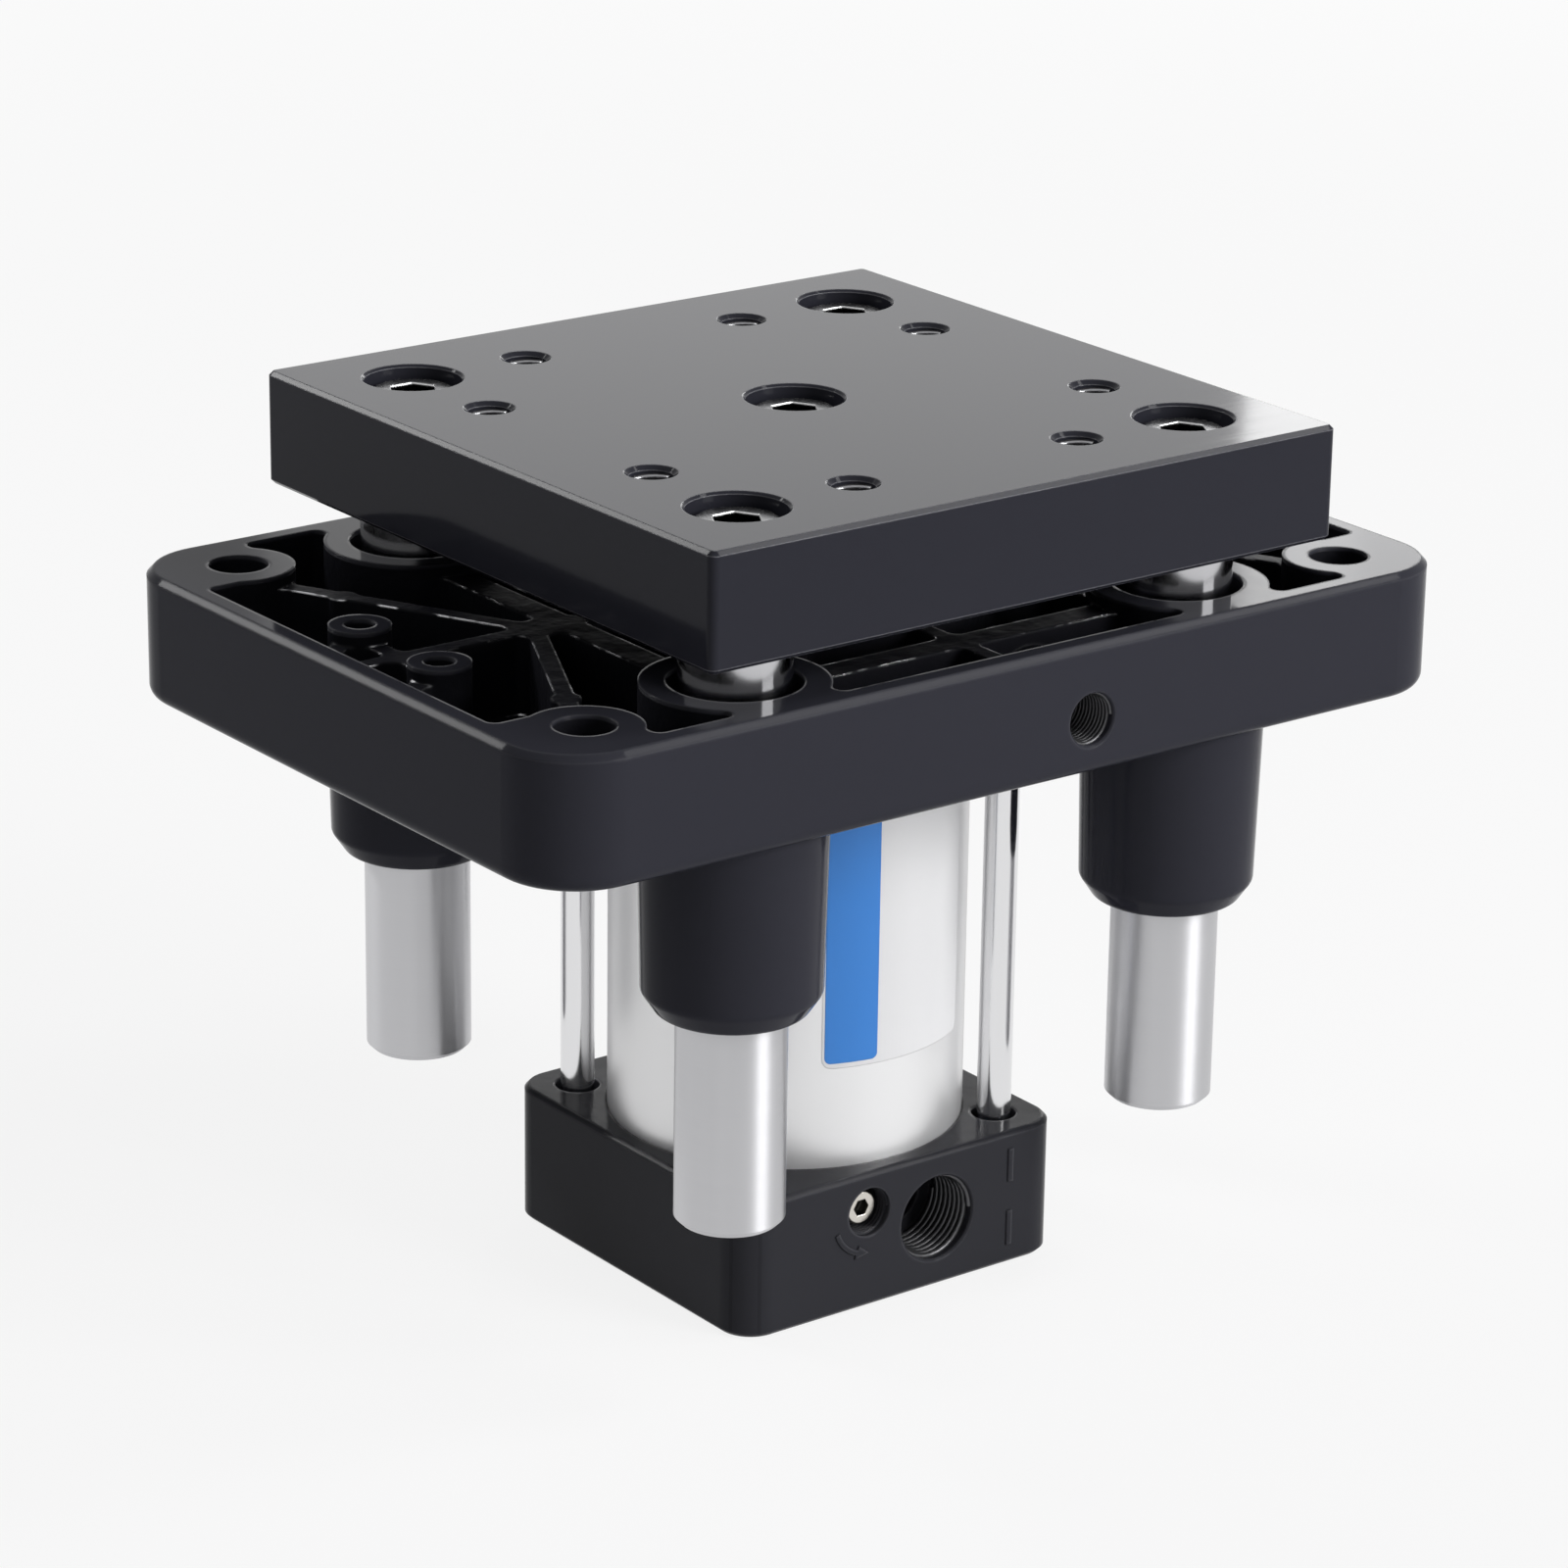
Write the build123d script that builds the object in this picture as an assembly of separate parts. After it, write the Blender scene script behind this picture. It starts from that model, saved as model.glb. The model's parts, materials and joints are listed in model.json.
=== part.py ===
from build123d import *
import os
from math import sqrt

# Guided pneumatic cylinder: a square lifting plate on four guide posts, driven by a tie-rod
# cylinder that hangs under a cast guide plate.
# Millimetres. +Z is the lifting direction, and the air ports look towards -Y.
# The origin is on the cylinder's axis at the underside of the rear cap, and everything is
# drawn retracted, which is where the plate rests.

# Cylinder barrel and piston
bore = 63.0
tube_wall = 2.25
tube_seat_depth = 2.0
stroke = 40.0
piston_side_gap = 0.4
piston_rest_gap = 0.2
seal_groove_width = 4.0
seal_groove_depth = 5.0
wear_groove_width = 5.0
wear_groove_depth = 2.2
magnet_groove_depth = 6.0
piston_land = 1.4
piston_rod_diameter = 20.0
piston_spigot_diameter = 10.0
piston_nut_across_flats = 16.0
piston_nut_height = 6.0
piston_nut_showing = 1.0

# Rear cap
cap_corner_radius = 7.0
cap_edge_chamfer = 0.8
cap_edge_distance = 9.25
spigot_height = 7.0
spigot_seal_section = 2.6
spigot_seal_from_end = 1.6
cushion_chamber_gap = 2.0
cushion_chamber_floor = 6.0
cushion_collar_length = 14.0
cushion_collar_taper = 1.0
cushion_seal_wall = 4.0
cushion_seal_height = 5.0
cushion_seal_lead = 1.0
rear_port_diameter = 16.66
rear_port_depth = 13.0
rear_port_x = 7.8
rear_port_wall_below = 5.4
rear_port_wall_above = 4.94
rear_port_passage_diameter = 11.0
port_mouth_chamfer = 0.4

# Cushion needle
needle_x = -8.4
needle_below_top = 7.9
needle_mouth_diameter = 9.6
needle_mouth_depth = 6.5
needle_head_diameter = 6.8
needle_head_recess = 2.5
needle_head_chamfer = 0.4
needle_hex = 3.0
needle_hex_depth = 2.2
needle_thread_diameter = 6.0
needle_thread_length = 7.0
needle_neck_length = 2.4
needle_seal_section = 1.2
needle_tip_diameter = 2.0
needle_tip_length = 3.5
bypass_diameter = 2.6
bypass_inset = 17.5

# Tie rods
tie_thread_diameter = 8.0
tie_shank_relief = 0.75
tie_hole_clearance = 0.3
tie_web = 1.9
tie_thread_in_plate = 12.0
tie_nut_wall = 2.5
tie_nut_height = 9.0
tie_nut_chamfer = 0.5
tie_nut_recess = 0.8
tie_nut_hex = 6.0
tie_nut_hex_depth = 3.2

# Cast guide plate
post_pitch = 100.0
post_to_long_edge = 20.0
post_to_short_edge = 52.0
guide_thickness = 24.5
guide_corner_radius = 15.0
guide_lower_edge_radius = 2.8
guide_upper_edge_chamfer = 1.2
rim_wall = 4.5
pocket_floor = 7.0
pocket_corner_radius = 2.0
rib_drop = 2.6
rib_thickness = 3.4
mount_to_long_edge = 15.0
mount_to_short_edge = 17.0
mount_hole_diameter = 11.0
mount_boss_diameter = 20.8
mount_pad_reach = 7.4
mount_pad_drop = 9.2
post_ring_wall = 4.8
frame_wall = 6.0
frame_past_post_x = 4.2
frame_past_post_y = 1.8
rib_node_past_frame = 3.0
head_boss_diameter = 76.0
tie_boss_wall = 4.2
spoke_thickness = 6.0
eject_pad_diameter = 5.4
eject_pad_share = 0.36
eyelet_diameter = 11.4
eyelet_hole_diameter = 5.6
eyelet_hole_depth = 12.0
eyelet_from_axis = 12.7
eyelet_from_edge = 16.0
eyelet_rib_rise = 3.0
eyelet_rib_fall = 9.0
front_port_diameter = 9.73
front_port_depth = 12.0
front_port_x = 13.8
front_port_above_underside = 10.4
front_port_boss_diameter = 18.0
front_port_passage_diameter = 6.0
front_port_passage_inset = 9.5

# Guide posts, their bosses, bushes and wipers
post_diameter = 20.0
post_end_chamfer = 1.0
bush_wall = 2.0
boss_length = 36.1
boss_upper_wall = 4.9
boss_lower_wall = 4.2
boss_chamfer_width = 2.7
boss_chamfer_height = 4.0
boss_blend_radius = 2.0
bush_length = 18.0
wiper_height = 3.5
wiper_recess_upper = 3.0
wiper_recess_lower = 1.5
wiper_lip_bevel = 1.2

# Piston-rod bush, seal, wiper and front buffer in the guide plate
rod_bush_wall = 2.5
rod_bush_inset = 0.9
rod_seal_wall = 4.0
rod_seal_height = 6.0
rod_wiper_height = 6.0
buffer_outer_diameter = 42.0
buffer_stand_out = 4.0
buffer_seat_depth = 2.0
buffer_rod_gap = 2.0
buffer_rest_gap = 0.3

# Lifting plate and its screws
lift_gap = 9.5
lift_thickness = 21.5
lift_past_post = 19.5
lift_edge_chamfer = 0.8
lift_corner_radius = 1.5
lift_register_depth = 2.0
screw_diameter = 10.0
screw_length = 30.0
screw_head_diameter = 16.0
screw_head_height = 10.0
screw_head_chamfer = 0.8
screw_hex = 8.0
screw_hex_depth = 5.0
screw_head_below_top = 2.2
screw_hole_clearance = 0.5
counterbore_clearance = 1.0
hole_mouth_chamfer = 0.5
load_hole_diameter = 8.0
load_hole_chamfer = 0.8
load_hole_share = 0.5

# Clearances, all radial or face to face
running_clearance = 0.05
seat_clearance = 0.04
thread_clearance = 0.1
tube_seat_clearance = 0.15
hole_bottom_clearance = 3.0

# Worked-out radii and places
tube_inner = bore / 2
tube_outer = tube_inner + tube_wall
tie_thread_radius = tie_thread_diameter / 2
tie_hole_radius = tie_thread_radius + tie_hole_clearance
tie_nut_radius = tie_thread_radius + tie_nut_wall
tie_offset = (tube_outer + tie_web + tie_hole_radius) / sqrt(2)
cap_size = 2 * (tie_offset + cap_edge_distance)
cap_front = -cap_size / 2
spigot_radius = tube_inner - running_clearance
post_offset = post_pitch / 2
guide_length = post_pitch + 2 * post_to_short_edge
guide_depth = post_pitch + 2 * post_to_long_edge
guide_front = -guide_depth / 2
mount_x = guide_length / 2 - mount_to_short_edge
mount_y = guide_depth / 2 - mount_to_long_edge
lift_size = post_pitch + 2 * lift_past_post
counterbore_radius = screw_head_diameter / 2 + counterbore_clearance
rod_radius = piston_rod_diameter / 2
post_radius = post_diameter / 2
post_bore_radius = post_radius + bush_wall
cushion_seal_outer = rod_radius + cushion_seal_wall
needle_neck_radius = needle_thread_diameter / 2 - needle_seal_section
spigot_groove_floor = spigot_radius - spigot_seal_section
eyelet_x = guide_length / 2 - eyelet_from_edge
frame_half_x = post_offset + frame_past_post_x
frame_half_y = post_offset + frame_past_post_y

# Worked-out heights
piston_height = 3 * seal_groove_width + wear_groove_width + 5 * piston_land
travel_space = piston_rest_gap + piston_height + stroke + buffer_rest_gap + buffer_stand_out
tube_visible = 2 * spigot_height + travel_space
cap_height = rear_port_wall_below + rear_port_diameter + rear_port_wall_above
rear_port_height = rear_port_wall_below + rear_port_diameter / 2
needle_height = cap_height - needle_below_top
guide_underside = cap_height + tube_visible
guide_top = guide_underside + guide_thickness
pocket_level = guide_underside + pocket_floor
rib_level = guide_top - rib_drop
lift_underside = guide_top + lift_gap
lift_top = lift_underside + lift_thickness
rear_spigot_top = cap_height + spigot_height
cushion_seal_bottom = rear_spigot_top - cushion_seal_height
front_spigot_bottom = guide_underside - spigot_height
piston_bottom = rear_spigot_top + piston_rest_gap
piston_top = piston_bottom + piston_height
buffer_bottom = piston_top + stroke + buffer_rest_gap
boss_bottom = guide_underside - boss_length
post_bottom = boss_bottom - stroke
post_top = lift_underside + lift_register_depth
head_seat = lift_top - screw_head_below_top - screw_head_height
screw_tip = head_seat - screw_length
tie_nut_top = tie_nut_recess + tie_nut_height
tie_rod_top = guide_underside + tie_thread_in_plate
nut_bottom = piston_bottom - cushion_collar_length - piston_nut_height
buffer_seat_top = front_spigot_bottom + buffer_seat_depth
rod_seal_top = rib_level - rod_wiper_height
rod_bush_top = rod_seal_top - rod_seal_height
rod_bush_bottom = buffer_seat_top + rod_bush_inset
front_port_height = guide_underside + front_port_above_underside

STAND = (Align.CENTER, Align.CENTER, Align.MIN)
CORNERS = [(-1, -1), (1, -1), (1, 1), (-1, 1)]


def corners(half_x, half_y):
    """The four corner points of a centred rectangle, front left first and anticlockwise."""
    return [(side_x * half_x, side_y * half_y) for side_x, side_y in CORNERS]


post_places = corners(post_offset, post_offset)
tie_places = corners(tie_offset, tie_offset)
screw_places = post_places + [(0, 0)]


def cylinder(radius, low, high, x=0.0, y=0.0):
    """An upright cylinder between two heights."""
    return Pos(x, y, low) * Cylinder(radius, high - low, align=STAND)


def ring(outer, inner, low, high, x=0.0, y=0.0):
    """An upright ring between two heights."""
    return cylinder(outer, low, high, x, y) - cylinder(inner, low, high, x, y)


def drilling(radius, front, back, x, z):
    """A level cylinder along Y, from its front end to its back end."""
    return Pos(x, front, z) * Rot(X=-90) * Cylinder(radius, back - front, align=STAND)


def turned(*profile):
    """A solid of revolution round Z from (radius, height) points."""
    outline = Polyline([(radius, 0, height) for radius, height in profile], close=True)
    return revolve(make_face(outline), Axis.Z)


def hex_prism(across_flats, low, high):
    """An upright hexagonal prism between two heights."""
    outline = RegularPolygon(across_flats / sqrt(3), 6)
    return Pos(0, 0, low) * extrude(outline, high - low)


def countersink(radius, chamfer, top, x=0.0, y=0.0):
    """The cone that breaks the edge of an upright hole's mouth."""
    return Pos(x, y, top - chamfer) * Cone(radius, radius + chamfer, chamfer, align=STAND)


def group(solids):
    """Separate solids kept in one file."""
    return Compound(children=list(solids))


def save(name, shape):
    export_step(shape, f"parts/{name}.step")


# Guide plate: the casting

def bar(start, end, thickness):
    """A straight rib's plan between two points, with round ends."""
    run = Line(start, end)
    return Pos(*(run @ 0.5)) * Rot(Z=run.tangent_angle_at(0)) * SlotCenterToCenter(run.length, thickness)


def mount_pads():
    """Plan of the four mounting bosses, with the solid corners that join them to the rim."""
    pads = Sketch()
    for side_x, side_y in CORNERS:
        x, y = side_x * mount_x, side_y * mount_y
        pads += Pos(x, y) * Circle(mount_boss_diameter / 2)
        inner_x = mount_x - mount_pad_reach
        inner_y = mount_y - mount_pad_drop
        wide = Rectangle(guide_length / 2 - inner_x, post_to_long_edge, align=(Align.MIN, Align.MIN))
        tall = Rectangle(mount_to_short_edge, guide_depth / 2 - inner_y, align=(Align.MIN, Align.MIN))
        corner = Pos(inner_x, mount_y) * wide + Pos(mount_x, inner_y) * tall
        pads += mirror_to(corner, side_x, side_y)
    return pads


def mirror_to(shape, side_x, side_y):
    """The shape of the first quadrant moved to the quadrant with these signs."""
    if side_x < 0:
        shape = mirror(shape, Plane.YZ)
    if side_y < 0:
        shape = mirror(shape, Plane.XZ)
    return shape


def high_plan():
    """What stands in the pocket up to the guide plate's top face."""
    plan = mount_pads()
    for x, y in post_places:
        plan += Pos(x, y) * Circle(post_bore_radius + post_ring_wall)
    for x, y in corners(eyelet_x, eyelet_from_axis):
        plan += Pos(x, y) * Circle(eyelet_diameter / 2)
    return plan


def wing_ribs(side):
    """The ribs of one side wing: two diagonals, a middle rib and the eyelets' ribs."""
    middle_x = side * eyelet_x
    rim_x = side * (guide_length / 2 - rim_wall / 2)
    node = (side * (frame_half_x + rib_node_past_frame), 0)
    ribs = bar((rim_x, 0), (side * frame_half_x, 0), rib_thickness)
    ribs += bar((middle_x, -eyelet_from_axis), (middle_x, eyelet_from_axis), rib_thickness)
    for level in (-1, 1):
        mount = (side * mount_x, level * mount_y)
        diagonal = Line(mount, node)
        ribs += bar(mount, node, rib_thickness)
        ribs += Pos(*(diagonal @ eject_pad_share)) * Circle(eject_pad_diameter / 2)
        eyelet_y = level * eyelet_from_axis
        root = (middle_x, eyelet_y + eyelet_rib_rise)
        foot = (rim_x, eyelet_y - eyelet_rib_fall)
        ribs += bar(root, foot, rib_thickness)
    return ribs


def low_plan():
    """What stands in the pocket up to the ribs' level, a little below the top face."""
    inner_x = frame_half_x - frame_wall
    inner_y = frame_half_y - frame_wall
    plan = Rectangle(2 * frame_half_x, 2 * frame_half_y) - Rectangle(2 * inner_x, 2 * inner_y)
    plan += Circle(head_boss_diameter / 2)
    tie_boss = tie_thread_radius + tie_boss_wall
    for x, y in tie_places:
        plan += Pos(x, y) * Circle(tie_boss)
    for x, y in post_places:
        plan += bar((0, 0), (x, y), spoke_thickness)
    rim_y = guide_depth / 2 - rim_wall / 2
    plan += bar((0, -rim_y), (0, rim_y), rib_thickness)
    plan += bar((-frame_half_x, 0), (frame_half_x, 0), rib_thickness)
    return plan + wing_ribs(-1) + wing_ribs(1)


def softened(cells):
    """Pocket cells with their sharp corners rounded as a cast pocket's are."""
    rounded = Sketch()
    for cell in cells.faces():
        core = offset(cell, -pocket_corner_radius)
        rounded += offset(core, pocket_corner_radius, kind=Kind.ARC)
    return rounded


def cast_pockets():
    """The two depths of pocket that are open at the top of the guide plate."""
    inside = Rectangle(guide_length - 2 * rim_wall, guide_depth - 2 * rim_wall)
    shallow = inside - high_plan()
    deep = shallow - low_plan()
    upper = extrude(Pos(0, 0, rib_level) * softened(shallow), rib_drop)
    lower = extrude(Pos(0, 0, pocket_level) * softened(deep), rib_level - pocket_level)
    return [upper, lower]


def post_boss():
    """The tapered tube under the plate that holds one post's bushes, as a plain solid."""
    lower = post_bore_radius + boss_lower_wall
    upper = post_bore_radius + boss_upper_wall
    outline = Polyline(
        (0, 0, boss_bottom),
        (lower - boss_chamfer_width, 0, boss_bottom),
        (lower, 0, boss_bottom + boss_chamfer_height),
        (upper, 0, guide_underside),
        (upper, 0, pocket_level),
        (0, 0, pocket_level),
        close=True,
    )
    section = make_face(outline)
    low_corners = section.vertices().filter_by(lambda v: v.X > post_radius and v.Z < guide_underside)
    section = fillet(low_corners, boss_blend_radius)
    return revolve(section, Axis.Z)


def guide_plate():
    plan = RectangleRounded(guide_length, guide_depth, guide_corner_radius)
    plate = extrude(Pos(0, 0, guide_underside) * plan, guide_thickness)
    plate = fillet(plate.edges().group_by(Axis.Z)[0], guide_lower_edge_radius)
    plate = chamfer(plate.edges().group_by(Axis.Z)[-1], guide_upper_edge_chamfer)
    for pocket in cast_pockets():
        plate -= pocket

    hump_start = guide_front + rim_wall / 2
    hump_end = frame_wall / 2 - frame_half_y
    hump = front_port_boss_diameter / 2
    plate += drilling(hump, hump_start, hump_end, front_port_x, front_port_height)
    for x, y in post_places:
        plate += Pos(x, y) * post_boss()
    plate += cylinder(spigot_radius, front_spigot_bottom, pocket_level)

    # Seats for the tube and its seal
    plate -= tube_seat(guide_underside)
    plate -= spigot_groove(front_spigot_bottom + spigot_seal_from_end)

    # Stepped bore for the piston rod, open at the top for its seals
    plate -= cylinder(buffer_outer_diameter / 2 + seat_clearance, front_spigot_bottom, buffer_seat_top)
    plate -= cylinder(rod_radius + rod_bush_wall + seat_clearance, front_spigot_bottom, rod_bush_top)
    plate -= cylinder(rod_radius + rod_seal_wall + seat_clearance, rod_bush_top, guide_top)

    for x, y in post_places:
        plate -= cylinder(post_bore_radius + seat_clearance, boss_bottom, guide_top, x, y)
    for x, y in corners(mount_x, mount_y):
        plate -= cylinder(mount_hole_diameter / 2, guide_underside, guide_top, x, y)
    for x, y in corners(eyelet_x, eyelet_from_axis):
        plate -= cylinder(eyelet_hole_diameter / 2, guide_top - eyelet_hole_depth, guide_top, x, y)
    for x, y in tie_places:
        plate -= cylinder(tie_thread_radius + thread_clearance, guide_underside, tie_rod_top, x, y)

    # Front air port, its passage, and the drilling down into the cylinder
    passage_end = -tube_inner + front_port_passage_inset
    passage = front_port_passage_diameter / 2
    plate -= port(front_port_diameter, front_port_depth, guide_front, front_port_x, front_port_height)
    plate -= drilling(passage, guide_front, passage_end, front_port_x, front_port_height)
    plate -= cylinder(passage, front_spigot_bottom, front_port_height, front_port_x, passage_end)
    return plate


def port(diameter, depth, face, x, z):
    """A port drilled along +Y from a face, with its broken edge."""
    hole = drilling(diameter / 2, face, face + depth, x, z)
    mouth = Cone(diameter / 2 + port_mouth_chamfer, diameter / 2, port_mouth_chamfer, align=STAND)
    return hole + Pos(x, face, z) * Rot(X=-90) * mouth


# Seals and rings that both ends share

def tube_seat(low):
    """The ring-shaped recess that an end of the tube stands in."""
    return ring(tube_outer + tube_seat_clearance, spigot_radius, low, low + tube_seat_depth)


def spigot_groove(low):
    """The groove for the tube's seal, round a spigot."""
    high = low + spigot_seal_section + 2 * seat_clearance
    return ring(spigot_radius, spigot_groove_floor, low, high)


def spigot_seal(low):
    """A round-section ring that sits in a spigot's groove."""
    section = spigot_seal_section / 2
    middle = spigot_groove_floor + seat_clearance + section
    return Pos(0, 0, low + seat_clearance + section) * Torus(middle, section)


# Rear cap

def rear_cap():
    plan = RectangleRounded(cap_size, cap_size, cap_corner_radius)
    cap = extrude(plan, cap_height)
    ends = cap.edges().group_by(Axis.Z)
    cap = chamfer(ends[0] + ends[-1], cap_edge_chamfer)
    cap += cylinder(spigot_radius, cap_height, rear_spigot_top)
    cap -= tube_seat(cap_height - tube_seat_depth)
    cap -= spigot_groove(rear_spigot_top - spigot_seal_from_end - spigot_seal_section)

    # Cushion chamber under the piston, with its seal's seat
    cap -= cylinder(rod_radius + cushion_chamber_gap, cushion_chamber_floor, rear_spigot_top)
    cap -= cylinder(cushion_seal_outer + seat_clearance, cushion_seal_bottom, rear_spigot_top)

    cap -= port(rear_port_diameter, rear_port_depth, cap_front, rear_port_x, rear_port_height)
    cap -= drilling(rear_port_passage_diameter / 2, cap_front, 0, rear_port_x, rear_port_height)

    # Needle's stepped hole, its seat, and the way round the cushion seal
    mouth_end = cap_front + needle_mouth_depth
    thread_end = mouth_end + needle_thread_length + needle_neck_length
    thread = needle_thread_diameter / 2 + thread_clearance
    cap -= drilling(needle_mouth_diameter / 2, cap_front, mouth_end, needle_x, needle_height)
    cap -= drilling(thread, cap_front, thread_end, needle_x, needle_height)
    cap -= drilling(bypass_diameter / 2, cap_front, 0, needle_x, needle_height)
    bypass_y = cap_front + bypass_inset
    cap -= cylinder(bypass_diameter / 2, needle_height, rear_spigot_top, needle_x, bypass_y)

    for x, y in tie_places:
        cap -= cylinder(tie_hole_radius, 0, cap_height, x, y)
        cap -= cylinder(tie_nut_radius + tube_seat_clearance, 0, tie_nut_top, x, y)
    return cap


def cushion_seal():
    """The ring that closes on the cushion collar, with a lead-in at its top."""
    inner = rod_radius + running_clearance
    low = cushion_seal_bottom
    lead = cushion_seal_lead
    return turned(
        (inner, low),
        (cushion_seal_outer, low),
        (cushion_seal_outer, rear_spigot_top),
        (inner + lead, rear_spigot_top),
        (inner, rear_spigot_top - lead),
    )


def cushion_needle():
    """The screw that throttles the cushion, drawn along +Z from its tip to its head."""
    thread = needle_thread_diameter / 2
    tip = needle_tip_diameter / 2
    neck = needle_neck_radius
    thread_low = needle_tip_length
    neck_low = thread_low + needle_thread_length - needle_neck_length
    head_low = neck_low + needle_neck_length
    head_high = head_low + needle_mouth_depth - needle_head_recess
    head = needle_head_diameter / 2
    edge = needle_head_chamfer
    screw = turned(
        (0, 0),
        (tip / 2, 0),
        (tip, thread_low),
        (thread, thread_low),
        (thread, neck_low),
        (neck, neck_low),
        (neck, head_low),
        (head, head_low),
        (head, head_high - edge),
        (head - edge, head_high),
        (0, head_high),
    )
    screw -= hex_prism(needle_hex, head_high - needle_hex_depth, head_high)
    return needle_place(head_high) * screw


def needle_place(head_high):
    """Where the needle's own frame lies: its axis along -Y, its head inside the hole's mouth."""
    return Pos(needle_x, cap_front + needle_head_recess + head_high, needle_height) * Rot(X=90)


def needle_seal():
    """The small ring in the needle's neck."""
    section = needle_seal_section / 2
    back = cap_front + needle_mouth_depth + needle_neck_length / 2
    seal = Torus(needle_neck_radius + seat_clearance + section, section)
    return Pos(needle_x, back, needle_height) * Rot(X=90) * seal


# Tube and tie rods

def cylinder_tube():
    low = cap_height - tube_seat_depth
    high = guide_underside + tube_seat_depth
    return ring(tube_outer, tube_inner, low, high)


def tie_rod():
    """One tie rod: a slimmer shank between two threaded ends."""
    thread = tie_thread_radius
    step = tie_shank_relief
    shank = thread - step
    low = tie_nut_hex_depth + tie_nut_recess
    return turned(
        (0, low),
        (thread - step, low),
        (thread, low + step),
        (thread, tie_nut_top + tie_thread_in_plate / 2),
        (shank, tie_nut_top + tie_thread_in_plate / 2 + step),
        (shank, guide_underside + step),
        (thread, guide_underside + 2 * step),
        (thread, tie_rod_top - seat_clearance - step),
        (thread - step, tie_rod_top - seat_clearance),
        (0, tie_rod_top - seat_clearance),
    )


def tie_nut():
    """The round nut sunk in the rear cap, turned by a hexagon key."""
    thread = tie_thread_radius + thread_clearance
    outer = tie_nut_radius
    edge = tie_nut_chamfer
    nut = turned(
        (thread, tie_nut_recess + tie_nut_hex_depth),
        (thread, tie_nut_top),
        (outer, tie_nut_top),
        (outer, tie_nut_recess + edge),
        (outer - edge, tie_nut_recess),
        (0, tie_nut_recess),
        (0, tie_nut_recess + tie_nut_hex_depth),
    )
    return nut - hex_prism(tie_nut_hex, tie_nut_recess, tie_nut_recess + tie_nut_hex_depth)


# Piston and what it carries

def groove_levels():
    """Heights of the piston's grooves, from its lower face: seal, magnet, wear ring, seal."""
    widths = [seal_groove_width, seal_groove_width, wear_groove_width, seal_groove_width]
    lows = []
    level = piston_bottom + piston_land
    for width in widths:
        lows.append(level)
        level += width + piston_land
    return lows


def piston():
    outer = tube_inner - piston_side_gap
    body = cylinder(outer, piston_bottom, piston_top)
    edges = body.edges().filter_by(GeomType.CIRCLE)
    body = chamfer(edges, piston_side_gap)
    rear_seal_low, magnet_low, wear_low, front_seal_low = groove_levels()
    for low in (rear_seal_low, front_seal_low):
        body -= ring(outer, tube_inner - seal_groove_depth, low, low + seal_groove_width)
    body -= ring(outer, tube_inner - magnet_groove_depth, magnet_low, magnet_low + seal_groove_width)
    body -= ring(outer, tube_inner - wear_groove_depth, wear_low, wear_low + wear_groove_width)
    return body - cylinder(piston_spigot_diameter / 2 + seat_clearance, piston_bottom, piston_top)


def piston_seal(low, upwards):
    """A lip seal in its groove, with its lip towards the pressure."""
    inner = tube_inner - seal_groove_depth + seat_clearance
    outer = tube_inner - running_clearance
    flat = tube_inner - piston_side_gap
    base, lip = (low, low + seal_groove_width) if upwards else (low + seal_groove_width, low)
    rise = (lip - base) / 4
    return turned(
        (inner, base),
        (flat - piston_side_gap, base),
        (flat - piston_side_gap, base + rise),
        (outer, lip - rise),
        (outer, lip),
        (flat - 2 * piston_side_gap, lip),
        ((inner + flat) / 2, lip - rise),
        (inner, lip - rise),
    )


def magnet_ring(low):
    inner = tube_inner - magnet_groove_depth + seat_clearance
    return ring(tube_inner - 2 * piston_side_gap, inner, low, low + seal_groove_width)


def wear_ring(low):
    inner = tube_inner - wear_groove_depth + seat_clearance
    return ring(tube_inner - running_clearance, inner, low, low + wear_groove_width)


def piston_rod():
    """The rod, with its shoulder on the piston, its lower thread and its tapped top."""
    spigot = piston_spigot_diameter / 2
    shaft = turned(
        (0, nut_bottom - piston_nut_showing),
        (spigot, nut_bottom - piston_nut_showing),
        (spigot, piston_top),
        (rod_radius, piston_top),
        (rod_radius, post_top - post_end_chamfer),
        (rod_radius - post_end_chamfer, post_top),
        (0, post_top),
    )
    return shaft - tapped_end()


def tapped_end():
    """The blind tapped hole in the top of a rod or post."""
    return cylinder(screw_diameter / 2 + thread_clearance, screw_tip - hole_bottom_clearance, post_top)


def cushion_collar():
    """The sleeve on the rod's spigot that enters the cushion seal."""
    bore_radius = piston_spigot_diameter / 2 + seat_clearance
    low = piston_bottom - cushion_collar_length
    return turned(
        (bore_radius, low),
        (rod_radius - cushion_collar_taper, low),
        (rod_radius, low + 2 * cushion_collar_taper),
        (rod_radius, piston_bottom),
        (bore_radius, piston_bottom),
    )


def piston_nut():
    nut = hex_prism(piston_nut_across_flats, nut_bottom, nut_bottom + piston_nut_height)
    return nut - cylinder(piston_spigot_diameter / 2 + thread_clearance, nut_bottom, piston_bottom)


# What sits in the bores of the guide plate

def post_bush(low):
    return ring(post_bore_radius, post_radius + running_clearance, low, low + bush_length)


def post_wiper(low, lip_up):
    """The scraper ring at one end of a post's bore, with its bevelled lip outwards."""
    inner = post_radius + running_clearance
    outer = post_bore_radius
    base, lip = (low, low + wiper_height) if lip_up else (low + wiper_height, low)
    bevel = wiper_lip_bevel if lip_up else -wiper_lip_bevel
    return turned(
        (inner, base),
        (outer, base),
        (outer, lip - bevel),
        (inner + wiper_lip_bevel / 4, lip),
        (inner, lip),
    )


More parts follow.
